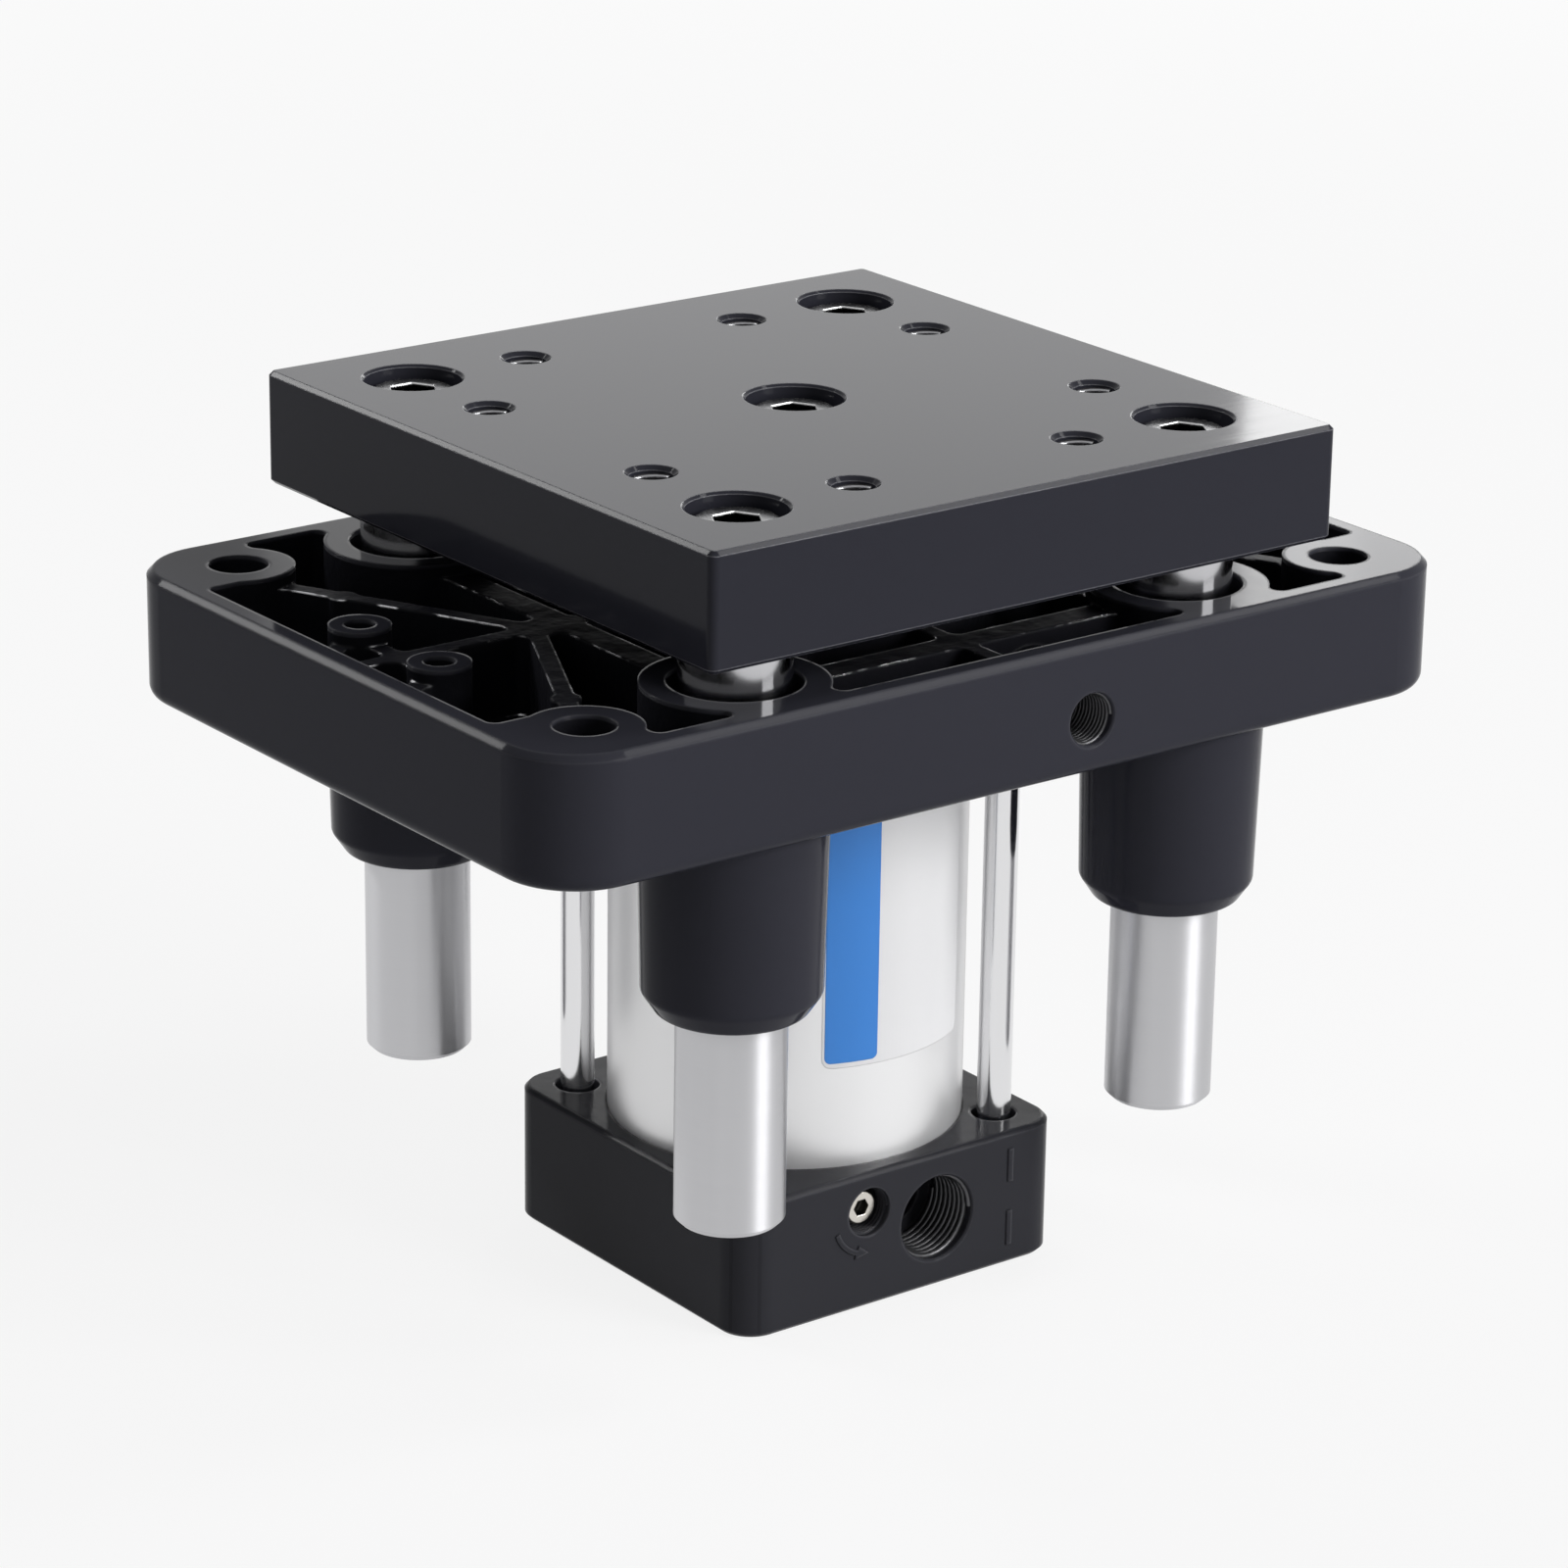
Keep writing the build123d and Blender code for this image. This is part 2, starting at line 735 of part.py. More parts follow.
def rod_bush():
    inner = rod_radius + running_clearance
    return ring(rod_radius + rod_bush_wall, inner, rod_bush_bottom, rod_bush_top)


def rod_seal():
    """The cup seal round the piston rod, open towards the pressure below."""
    inner = rod_radius + running_clearance
    outer = rod_radius + rod_seal_wall
    middle = (inner + outer) / 2
    cup = rod_seal_height / 3
    return turned(
        (inner, rod_bush_top),
        (middle, rod_bush_top + cup),
        (outer, rod_bush_top),
        (outer, rod_seal_top),
        (inner, rod_seal_top),
    )


def rod_wiper():
    inner = rod_radius + running_clearance
    outer = rod_radius + rod_seal_wall
    return turned(
        (inner, rod_seal_top),
        (outer, rod_seal_top),
        (outer, rib_level - wiper_lip_bevel),
        (inner + wiper_lip_bevel / 4, rib_level),
        (inner, rib_level),
    )


def front_buffer():
    """The rubber ring that stops the piston at the end of its stroke."""
    inner = rod_radius + buffer_rod_gap
    return ring(buffer_outer_diameter / 2, inner, buffer_bottom, buffer_seat_top)


# Lifting plate, posts and screws

def lift_plate():
    plan = RectangleRounded(lift_size, lift_size, lift_corner_radius)
    plate = extrude(Pos(0, 0, lift_underside) * plan, lift_thickness)
    ends = plate.edges().group_by(Axis.Z)
    plate = chamfer(ends[0] + ends[-1], lift_edge_chamfer)
    for x, y in screw_places:
        plate -= cylinder(screw_diameter / 2 + screw_hole_clearance, lift_underside, lift_top, x, y)
        plate -= cylinder(counterbore_radius, head_seat, lift_top, x, y)
        plate -= countersink(counterbore_radius, hole_mouth_chamfer, lift_top, x, y)
    for x, y in post_places:
        plate -= cylinder(post_radius + seat_clearance, lift_underside, post_top, x, y)
    plate -= cylinder(rod_radius + seat_clearance, lift_underside, post_top)
    for x, y in load_hole_places():
        plate -= cylinder(load_hole_diameter / 2, lift_underside, lift_top, x, y)
        plate -= countersink(load_hole_diameter / 2, load_hole_chamfer, lift_top, x, y)
    return plate


def load_hole_places():
    """Eight tapped holes: one rectangle along X and the same one along Y."""
    short = post_offset * load_hole_share
    return corners(post_offset, short) + corners(short, post_offset)


def guide_post():
    inner = post_radius - post_end_chamfer
    post = turned(
        (0, post_bottom),
        (inner, post_bottom),
        (post_radius, post_bottom + post_end_chamfer),
        (post_radius, post_top - post_end_chamfer),
        (inner, post_top),
        (0, post_top),
    )
    return post - tapped_end()


def socket_screw():
    """A cap screw with a hexagon socket, seated in the lifting plate's counterbore."""
    head = screw_head_diameter / 2
    shank = screw_diameter / 2
    head_top = head_seat + screw_head_height
    screw = turned(
        (0, screw_tip),
        (shank - screw_head_chamfer, screw_tip),
        (shank, screw_tip + screw_head_chamfer),
        (shank, head_seat),
        (head, head_seat),
        (head, head_top - screw_head_chamfer),
        (head - screw_head_chamfer, head_top),
        (0, head_top),
    )
    return screw - hex_prism(screw_hex, head_top - screw_hex_depth, head_top)


def build():
    os.makedirs("parts", exist_ok=True)
    rear_seal_low, magnet_low, wear_low, front_seal_low = groove_levels()

    save("guide_plate", guide_plate())
    save("rear_cap", rear_cap())
    save("cylinder_tube", cylinder_tube())
    save("front_tube_seal", spigot_seal(front_spigot_bottom + spigot_seal_from_end))
    save("rear_tube_seal", spigot_seal(rear_spigot_top - spigot_seal_from_end - spigot_seal_section))
    save("cushion_seal", cushion_seal())
    save("front_buffer", front_buffer())
    save("piston_rod_bush", rod_bush())
    save("piston_rod_seal", rod_seal())
    save("piston_rod_wiper", rod_wiper())

    nuts = []
    for number, (x, y) in enumerate(tie_places, start=1):
        save(f"tie_rod_{number}", Pos(x, y) * tie_rod())
        nuts.append(Pos(x, y) * tie_nut())
    save("tie_rod_nuts", group(nuts))

    upper_wiper_low = guide_top - wiper_recess_upper - wiper_height
    lower_wiper_low = boss_bottom + wiper_recess_lower
    for number, (x, y) in enumerate(post_places, start=1):
        place = Pos(x, y)
        save(f"upper_bush_{number}", place * post_bush(upper_wiper_low - bush_length))
        save(f"lower_bush_{number}", place * post_bush(lower_wiper_low + wiper_height))
        save(f"upper_wiper_{number}", place * post_wiper(upper_wiper_low, True))
        save(f"lower_wiper_{number}", place * post_wiper(lower_wiper_low, False))
        save(f"guide_post_{number}", place * guide_post())

    save("lift_plate", lift_plate())
    save("post_screws", group(Pos(x, y) * socket_screw() for x, y in post_places))
    save("piston_rod_screw", socket_screw())
    save("piston_rod", piston_rod())
    save("piston", piston())
    save("front_piston_seal", piston_seal(front_seal_low, True))
    save("rear_piston_seal", piston_seal(rear_seal_low, False))
    save("piston_magnet", magnet_ring(magnet_low))
    save("piston_wear_ring", wear_ring(wear_low))
    save("cushion_collar", cushion_collar())
    save("piston_nut", piston_nut())
    save("cushion_needle", cushion_needle())
    save("needle_seal", needle_seal())


build()
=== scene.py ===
# %% [markdown]
# # A guided air cylinder, dressed for its portrait
#
# The real thing is a round air cylinder with a square plate on top. Four thick steel posts keep
# the plate from turning, and a black casting in the middle holds everything together.
# Its exact solids come from a CAD program. This lesson adds what solids can't say: gloss, grain,
# threads, a label, and the light of a small product studio.

# %% Load the frame
import json
import math

import bmesh
import bpy
from mathutils import Matrix, Vector


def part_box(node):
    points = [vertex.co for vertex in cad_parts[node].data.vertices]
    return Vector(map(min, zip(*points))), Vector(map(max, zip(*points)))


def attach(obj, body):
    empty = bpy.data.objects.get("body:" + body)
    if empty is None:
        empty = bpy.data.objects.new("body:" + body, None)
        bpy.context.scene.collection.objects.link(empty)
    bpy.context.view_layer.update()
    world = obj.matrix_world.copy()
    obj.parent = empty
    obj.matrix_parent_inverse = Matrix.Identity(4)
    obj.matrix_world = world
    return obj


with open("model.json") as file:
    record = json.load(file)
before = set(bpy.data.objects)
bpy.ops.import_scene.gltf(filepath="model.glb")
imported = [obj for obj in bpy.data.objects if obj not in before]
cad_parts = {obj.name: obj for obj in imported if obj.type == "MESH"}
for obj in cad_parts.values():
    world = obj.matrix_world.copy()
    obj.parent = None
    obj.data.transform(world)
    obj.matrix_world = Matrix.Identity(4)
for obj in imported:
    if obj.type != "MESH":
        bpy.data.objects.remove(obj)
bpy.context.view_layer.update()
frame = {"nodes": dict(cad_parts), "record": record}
nodes = frame["nodes"]
print("CAD nodes:", len(nodes))

# %% [markdown]
# ## Where things are
#
# Each measure that the pieces below need is read from the CAD nodes' boxes, or written here once,
# in metres. The origin is under the middle of the rear cap, +Z is up, and the ports look to -Y.
# It could all be typed in as numbers at each piece, but then a change of size would be missed.

# %% Measures
MM = 0.001
lift_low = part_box("lift_plate")[0]
guide_low, guide_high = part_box("guide_plate")
cap_low, cap_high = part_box("rear_cap")
tube_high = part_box("cylinder_tube")[1]
post_low, post_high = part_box("guide_post_1")
screws_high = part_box("post_screws")[1]
needle_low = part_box("cushion_needle")[0]

tube_radius = tube_high.x
post_offset = abs((post_low.x + post_high.x) / 2)
load_hole_radius = 4.0 * MM
rear_port_place = Vector((7.8, cap_low.y / MM, 13.73)) * MM
rear_port_radius = 8.33 * MM
front_port_place = Vector((13.8, guide_low.y / MM, 119.9)) * MM
front_port_radius = 4.865 * MM
needle_place = Vector((-8.4, cap_low.y / MM, 19.1)) * MM
needle_mouth_radius = 4.8 * MM
guide_underside = 109.5 * MM
always_in_boss = 92 * MM   # a post's point at this height stays inside its boss at every pose
guide_corner = 15 * MM
cap_corner = 7 * MM
print("posts stand", round(post_offset / MM, 2), "mm from the axis")

# %% [markdown]
# ## The camera
#
# The photograph was taken from the left, above, with a long lens. A camera can be placed by eye,
# but measuring the edges of the two plates and solving for the lens gives the same picture again.
# The small shift is there because the photographer cropped the picture a little off centre.

# %% Camera
lens = bpy.data.cameras.new("portrait_lens")
lens.sensor_width = 36
lens.lens = 124.457
lens.shift_x = -0.00868
lens.shift_y = -0.00247
lens.clip_start = 0.05
lens.clip_end = 50
camera = bpy.data.objects.new("portrait_camera", lens)
bpy.context.scene.collection.objects.link(camera)
camera_place = Vector((-0.57674, -0.75741, 0.42787))
camera_target = Vector((0.00125, -0.00096, 0.09114))
camera_roll = math.radians(0.877)
aim = (camera_target - camera_place).to_track_quat("-Z", "Y").to_matrix().to_4x4()
camera.matrix_world = Matrix.Translation(camera_place) @ aim @ Matrix.Rotation(camera_roll, 4, "Z")
bpy.context.scene.camera = camera
print("camera is", round((camera_target - camera_place).length, 3), "m from the middle")

# %% [markdown]
# ## Node helpers
#
# A material is a small network of boxes and wires. The helpers below only save typing: `add` puts
# a box in a network with its values, and `wire` joins two sockets.

# %% Node helpers
def add(tree, kind, values=None, **settings):
    """One node with its settings and the values of its inputs."""
    node = tree.nodes.new(kind)
    for name, value in settings.items():
        setattr(node, name, value)
    for socket, value in (values or {}).items():
        node.inputs[socket].default_value = value
    return node


def wire(tree, start, end):
    """Joins an output socket to an input socket."""
    tree.links.new(start, end)


def new_group(name, inputs, outputs):
    """An empty shader group with named sockets, and its two end nodes."""
    group = bpy.data.node_groups.new(name, "ShaderNodeTree")
    for socket, kind, value in inputs:
        made = group.interface.new_socket(socket, in_out="INPUT", socket_type=kind)
        if value is not None:
            made.default_value = value
    for socket, kind in outputs:
        group.interface.new_socket(socket, in_out="OUTPUT", socket_type=kind)
    start = group.nodes.new("NodeGroupInput")
    end = group.nodes.new("NodeGroupOutput")
    return group, start, end


# %% [markdown]
# ## Effects that several finishes share
#
# Real metal is never one flat colour. Three effects cover this object, each built once as a node
# group: a grain that can be stretched into turning lines, the orange-peel skin of painted
# castings, and a mask of the edges, where dark finishes are painted lighter, partly as wear and
# partly as a painted highlight.

# %% Grain group
def build_grain():
    group, start, end = new_group(
        "grain",
        [("Vector", "NodeSocketVector", None), ("Stretch", "NodeSocketVector", (1, 1, 1)),
         ("Scale", "NodeSocketFloat", 400.0), ("Low", "NodeSocketFloat", 0.2),
         ("High", "NodeSocketFloat", 0.3)],
        [("Height", "NodeSocketFloat"), ("Roughness", "NodeSocketFloat")],
    )
    stretched = add(group, "ShaderNodeVectorMath", operation="MULTIPLY")
    noise = add(group, "ShaderNodeTexNoise", {"Detail": 4.0, "Roughness": 0.6})
    spread = add(group, "ShaderNodeMapRange", {"From Min": 0.3, "From Max": 0.7})
    wire(group, start.outputs["Vector"], stretched.inputs[0])
    wire(group, start.outputs["Stretch"], stretched.inputs[1])
    wire(group, stretched.outputs["Vector"], noise.inputs["Vector"])
    wire(group, start.outputs["Scale"], noise.inputs["Scale"])
    wire(group, noise.outputs["Fac"], spread.inputs["Value"])
    wire(group, start.outputs["Low"], spread.inputs["To Min"])
    wire(group, start.outputs["High"], spread.inputs["To Max"])
    wire(group, noise.outputs["Fac"], end.inputs["Height"])
    wire(group, spread.outputs["Result"], end.inputs["Roughness"])
    return group


grain = build_grain()
print("built group:", grain.name)

# %% Cast skin group
def build_cast_skin():
    group, start, end = new_group(
        "cast_skin",
        [("Vector", "NodeSocketVector", None), ("Wave Scale", "NodeSocketFloat", 160.0),
         ("Grit Scale", "NodeSocketFloat", 900.0), ("Grit", "NodeSocketFloat", 0.2)],
        [("Height", "NodeSocketFloat")],
    )
    waves = add(group, "ShaderNodeTexNoise", {"Detail": 2.0, "Roughness": 0.45})
    grit = add(group, "ShaderNodeTexNoise", {"Detail": 3.0})
    both = add(group, "ShaderNodeMath", operation="MULTIPLY_ADD")
    wire(group, start.outputs["Vector"], waves.inputs["Vector"])
    wire(group, start.outputs["Vector"], grit.inputs["Vector"])
    wire(group, start.outputs["Wave Scale"], waves.inputs["Scale"])
    wire(group, start.outputs["Grit Scale"], grit.inputs["Scale"])
    wire(group, grit.outputs["Fac"], both.inputs[0])
    wire(group, start.outputs["Grit"], both.inputs[1])
    wire(group, waves.outputs["Fac"], both.inputs[2])
    wire(group, both.outputs["Value"], end.inputs["Height"])
    return group


cast_skin = build_cast_skin()
print("built group:", cast_skin.name)

# %% Soft edge group
FLAT, SHARP = 0.995, 0.80   # how well rounded and true normal agree: on a face, and on an edge


def build_soft_edges():
    group, start, end = new_group(
        "soft_edges",
        [("Radius", "NodeSocketFloat", 0.0004), ("Normal", "NodeSocketVector", None)],
        [("Normal", "NodeSocketVector"), ("Edge", "NodeSocketFloat")],
    )
    rounded = add(group, "ShaderNodeBevel", samples=6)
    shape = add(group, "ShaderNodeNewGeometry")
    match = add(group, "ShaderNodeVectorMath", operation="DOT_PRODUCT")
    edge = add(group, "ShaderNodeMapRange", {"From Min": FLAT, "From Max": SHARP})
    wire(group, start.outputs["Radius"], rounded.inputs["Radius"])
    wire(group, start.outputs["Normal"], rounded.inputs["Normal"])
    wire(group, rounded.outputs["Normal"], match.inputs[0])
    wire(group, shape.outputs["Normal"], match.inputs[1])
    wire(group, match.outputs["Value"], edge.inputs["Value"])
    wire(group, rounded.outputs["Normal"], end.inputs["Normal"])
    wire(group, edge.outputs["Result"], end.inputs["Edge"])
    return group


soft_edges = build_soft_edges()
print("built group:", soft_edges.name)

# %% [markdown]
# ## Metal and rubber finishes
#
# Most pieces share one recipe: a Principled shader, the grain group for its roughness, and a faint
# bump. Only the numbers differ, so one function makes them all. The stretch says which way the
# tool went: lines round a ground post, lines along a drawn rod, none on rubber. The edges can have
# a colour of their own, lighter partly where hands and tools rub and partly as a painted highlight.

# %% The plain recipe
GRAIN_DEPTH = 0.0004


def finish(name, colour, metallic, rough, stretch=(1, 1, 1), scale=400.0, bump=0.02,
           edge=0.0003, specular=0.5, drawn=(0, 0), wear_and_highlight=None):
    """A material with grain, a faint bump and soft edges.

    rough is the lowest and highest roughness, and edge the radius of its edges in metres. drawn
    is how far and which way the gloss is drawn out, and wear_and_highlight the colour of the edges,
    partly wear and partly a painted highlight.
    """
    made = bpy.data.materials.new(name)
    made.use_nodes = True
    tree = made.node_tree
    shader = tree.nodes["Principled BSDF"]
    shader.inputs["Base Color"].default_value = (*colour, 1)
    shader.inputs["Metallic"].default_value = metallic
    shader.inputs["Specular IOR Level"].default_value = specular
    shader.inputs["Anisotropic"].default_value = drawn[0]
    shader.inputs["Anisotropic Rotation"].default_value = drawn[1]
    place = add(tree, "ShaderNodeTexCoord")
    lines = add(tree, "ShaderNodeGroup", node_tree=grain)
    lines.inputs["Stretch"].default_value = stretch
    lines.inputs["Scale"].default_value = scale
    lines.inputs["Low"].default_value = rough[0]
    lines.inputs["High"].default_value = rough[1]
    corners = add(tree, "ShaderNodeGroup", node_tree=soft_edges)
    corners.inputs["Radius"].default_value = edge
    relief = add(tree, "ShaderNodeBump", {"Strength": bump, "Distance": GRAIN_DEPTH})
    wire(tree, place.outputs["Object"], lines.inputs["Vector"])
    wire(tree, lines.outputs["Roughness"], shader.inputs["Roughness"])
    wire(tree, lines.outputs["Height"], relief.inputs["Height"])
    wire(tree, corners.outputs["Normal"], relief.inputs["Normal"])
    wire(tree, relief.outputs["Normal"], shader.inputs["Normal"])
    # edges painted lighter: partly wear, partly a painted highlight of the rounded edge
    if wear_and_highlight:
        rubbed_highlight = add(tree, "ShaderNodeMix", data_type="RGBA")
        rubbed_highlight.inputs["A"].default_value = (*colour, 1)
        rubbed_highlight.inputs["B"].default_value = (*wear_and_highlight, 1)
        wire(tree, corners.outputs["Edge"], rubbed_highlight.inputs["Factor"])
        wire(tree, rubbed_highlight.outputs["Result"], shader.inputs["Base Color"])
    return made


# %% The plain finishes
ROUND_LINES = (0.03, 0.03, 6)
LONG_LINES = (6, 6, 0.03)
EVEN = (1, 1, 1)
# name, colour, metallic, lowest and highest roughness, stretch, scale, bump, edge
finishes = {
    "ground_chrome": finish("ground_chrome", (0.53, 0.53, 0.545), 1, (0.36, 0.42),
                            ROUND_LINES, 900, 0.004, drawn=(0.85, 0.25)),
    "hard_chrome": finish("hard_chrome", (0.76, 0.76, 0.77), 1, (0.06, 0.12),
                          ROUND_LINES, 900, 0.006),
    "bright_steel": finish("bright_steel", (0.78, 0.78, 0.79), 1, (0.12, 0.18),
                           LONG_LINES, 700, 0.01),
    "zinc_steel": finish("zinc_steel", (0.50, 0.50, 0.50), 1, (0.20, 0.30), EVEN, 700, 0.03),
    # the dark head colour is painted shade of the counterbore; the light edges are partly wear,
    # partly a painted highlight of the rim
    "screw_zinc_shade_and_highlight": finish("screw_zinc_shade_and_highlight", (0.17, 0.17, 0.175), 1, (0.20, 0.30),
                         EVEN, 700, 0.03, 0.0006, wear_and_highlight=(0.85, 0.85, 0.85)),
    "nickel": finish("nickel", (0.66, 0.63, 0.58), 1, (0.14, 0.26), EVEN, 700, 0.04),
    "clear_anodised": finish("clear_anodised", (0.82, 0.82, 0.825), 0.70, (0.36, 0.42),
                             LONG_LINES, 600, 0.01),
    "bare_aluminium": finish("bare_aluminium", (0.75, 0.75, 0.76), 1, (0.28, 0.40),
                             ROUND_LINES, 420, 0.05),
    "bronze": finish("bronze", (0.55, 0.36, 0.16), 1, (0.25, 0.40), ROUND_LINES, 420, 0.05),
    "black_rubber": finish("black_rubber", (0.018, 0.018, 0.018), 0, (0.55, 0.75), EVEN, 500, 0.06),
    "magnet_rubber": finish("magnet_rubber", (0.05, 0.05, 0.055), 0, (0.5, 0.7), EVEN, 500, 0.06),
    "wear_plastic": finish("wear_plastic", (0.10, 0.16, 0.12), 0, (0.5, 0.65), EVEN, 500, 0.05),
    "cut_thread": finish("cut_thread", (0.085, 0.085, 0.09), 0.6, (0.28, 0.36), EVEN, 700, 0.02),
    "load_thread": finish("load_thread", (0.26, 0.26, 0.27), 0.8, (0.14, 0.22), EVEN, 700, 0.02),
}
print("plain finishes:", len(finishes))

# %% [markdown]
# ## Finishes that change along a piece
#
# The sockets and sides of the screws and of the needle mirror only their own hole, so they look far
# darker than the heads; that shade is painted into their colour. The posts are polished above the
# guide plate and satin below its bosses, and the change lies where the bosses hide it at every
# pose. Both changes follow one coordinate, so a Map Range on it is enough, and nothing is cut in
# two.

# %% Painted shade in sockets, and polished posts
SOCKET_SHADE = 0.12
POLISH_LENGTH = 16 * MM


def paint_shade_inside(made, axis, edge_at, way):
    """Paints shade into the colour of what lies deeper than a face at edge_at. way is 1 where
    outward is up the axis.
    """
    tree = made.node_tree
    colour = tree.nodes["Principled BSDF"].inputs["Base Color"]
    bright = colour.default_value
    place = add(tree, "ShaderNodeTexCoord")
    axes = add(tree, "ShaderNodeSeparateXYZ")
    deep = add(tree, "ShaderNodeMapRange",
               {"From Min": edge_at - way * 0.2 * MM, "From Max": edge_at - way * 0.7 * MM})
    shade = add(tree, "ShaderNodeMix", data_type="RGBA")
    shade.inputs["A"].default_value = bright
    for link in list(colour.links):
        wire(tree, link.from_socket, shade.inputs["A"])
    shade.inputs["B"].default_value = (*[SOCKET_SHADE * c for c in bright[:3]], 1)
    wire(tree, place.outputs["Object"], axes.inputs["Vector"])
    wire(tree, axes.outputs[axis], deep.inputs["Value"])
    wire(tree, deep.outputs["Result"], shade.inputs["Factor"])
    wire(tree, shade.outputs["Result"], colour)


def polish_above(made, height, share):
    """Lowers the roughness to a share of itself above a height, with a soft change below it."""
    tree = made.node_tree
    roughness = tree.nodes["Principled BSDF"].inputs["Roughness"]
    rough = roughness.links[0].from_socket
    place = add(tree, "ShaderNodeTexCoord")
    axes = add(tree, "ShaderNodeSeparateXYZ")
    smooth = add(tree, "ShaderNodeMapRange",
                 {"From Min": height - POLISH_LENGTH, "From Max": height,
                  "To Min": 1.0, "To Max": share})
    lower = add(tree, "ShaderNodeMath", operation="MULTIPLY")
    wire(tree, place.outputs["Object"], axes.inputs["Vector"])
    wire(tree, axes.outputs["Z"], smooth.inputs["Value"])
    wire(tree, rough, lower.inputs[0])
    wire(tree, smooth.outputs["Result"], lower.inputs[1])
    wire(tree, lower.outputs["Value"], roughness)


# painted shade in the sockets and sides of the screws and of the needle
paint_shade_inside(finishes["screw_zinc_shade_and_highlight"], "Z", screws_high.z, 1)
paint_shade_inside(finishes["nickel"], "Y", needle_low.y, -1)
polish_above(finishes["ground_chrome"], always_in_boss, 0.3)
print("changed along a piece: screw_zinc_shade_and_highlight, nickel, ground_chrome")

# %% [markdown]
# ## Black anodised plate
#
# The lifting plate is machined aluminium with a deep black, glossy oxide layer. Plain black
# paint would do for a toy, but here the top has to mirror the studio softly while its milled
# faces keep very fine lines, and the sharp corners are painted lighter: partly wear, partly a
# painted highlight of their chamfers.

# %% Lifting plate finish
BLACK = (0.0250, 0.0254, 0.0335)
BLACK_GLOSS = 0.055
FINE_LINES = (0.05, 3, 3)
# edge colour: partly wear, partly a painted highlight of the chamfers
RUBBED_EDGE_HIGHLIGHT = (0.42, 0.42, 0.45)
finishes["black_anodised"] = finish("black_anodised", BLACK, 0, (0.06, 0.09), FINE_LINES, 300,
                                    0.004, 0.00035, BLACK_GLOSS, wear_and_highlight=RUBBED_EDGE_HIGHLIGHT)
print("made:", finishes["black_anodised"].name)

# %% [markdown]
# ## Painted casting
#
# The guide plate and the rear cap are cast, painted black and then machined on their outside.
# So one material needs two skins: smooth and glossy where the cutter went, and rippled where the
# mould left it, inside the pockets. A mask from the Object coordinates tells them apart: the
# height, and how far a point is from the rim. Painting the mask by hand would tie it to one mesh.

# %% Masks of height and rim
def height_band(tree, height, low, high, soft):
    """1 between two heights, 0 outside, with a soft step."""
    rise = add(tree, "ShaderNodeMapRange", {"From Min": low - soft, "From Max": low + soft})
    fall = add(tree, "ShaderNodeMapRange", {"From Min": high + soft, "From Max": high - soft})
    both = add(tree, "ShaderNodeMath", operation="MULTIPLY")
    wire(tree, height, rise.inputs["Value"])
    wire(tree, height, fall.inputs["Value"])
    wire(tree, rise.outputs["Result"], both.inputs[0])
    wire(tree, fall.outputs["Result"], both.inputs[1])
    return both.outputs["Value"]


def inside_rim(tree, axes, high, corner, inset):
    """1 where a point is further in than the rim, 0 on its outer faces and their round corners."""
    sizes = []
    for axis in ("X", "Y"):
        size = add(tree, "ShaderNodeMath", operation="ABSOLUTE")
        wire(tree, axes.outputs[axis], size.inputs[0])
        sizes.append(size.outputs["Value"])
    slanted = add(tree, "ShaderNodeMath", operation="ADD")
    wire(tree, sizes[0], slanted.inputs[0])
    wire(tree, sizes[1], slanted.inputs[1])
    # a slanted line that touches the round corner, moved in by the inset
    corner_limit = high.x + high.y - (2 - math.sqrt(2)) * corner - math.sqrt(2) * inset
    limits = ((sizes[0], high.x - inset), (sizes[1], high.y - inset),
              (slanted.outputs["Value"], corner_limit))
    inside = None
    for size, limit in limits:
        below = add(tree, "ShaderNodeMath", operation="LESS_THAN")
        below.inputs[1].default_value = limit
        wire(tree, size, below.inputs[0])
        if inside is None:
            inside = below.outputs["Value"]
            continue
        both = add(tree, "ShaderNodeMath", operation="MULTIPLY")
        wire(tree, inside, both.inputs[0])
        wire(tree, below.outputs["Value"], both.inputs[1])
        inside = both.outputs["Value"]
    return inside


# %% Masks of the two castings
def guide_skin(tree, axes):
    """The pockets, from above the underside to just below the top face."""
    skin_low, skin_high = guide_underside + 4 * MM, guide_high.z - 0.6 * MM
    pockets = height_band(tree, axes.outputs["Z"], skin_low, skin_high, 0.2 * MM)
    inside = inside_rim(tree, axes, guide_high, guide_corner, 4.0 * MM)
    both = add(tree, "ShaderNodeMath", operation="MULTIPLY")
    wire(tree, pockets, both.inputs[0])
    wire(tree, inside, both.inputs[1])
    return both.outputs["Value"]


def cap_skin(tree, axes):
    """All of the rear cap but its outer sides, at a quarter of the strength; there it also paints a
    quarter of the casting's painted shade.
    """
    inside = inside_rim(tree, axes, cap_high, cap_corner, 0.4 * MM)
    faint = add(tree, "ShaderNodeMath", operation="MULTIPLY")
    faint.inputs[1].default_value = 0.25
    wire(tree, inside, faint.inputs[0])
    return faint.outputs["Value"]


print("masks: guide_skin, cap_skin")

# %% [markdown]
# ## Three layers of paint
#
# The paint is made in three steps, each a small function on the same mask. The gloss is smooth on
# machined faces and dull in the pockets. The colour has painted shade in the pockets, edges painted
# lighter, partly as wear and partly as a highlight, and bare metal in patches along the ribs where
# the paint is gone, standing in for painted glints. The relief ripples only where no cutter came.

# %% Values of the paint
MACHINED_ROUGH = (0.07, 0.11)
SKIN_ROUGH, SKIN_EDGE_ROUGH = 0.42, 0.10
CASTING_EDGE = 0.0009
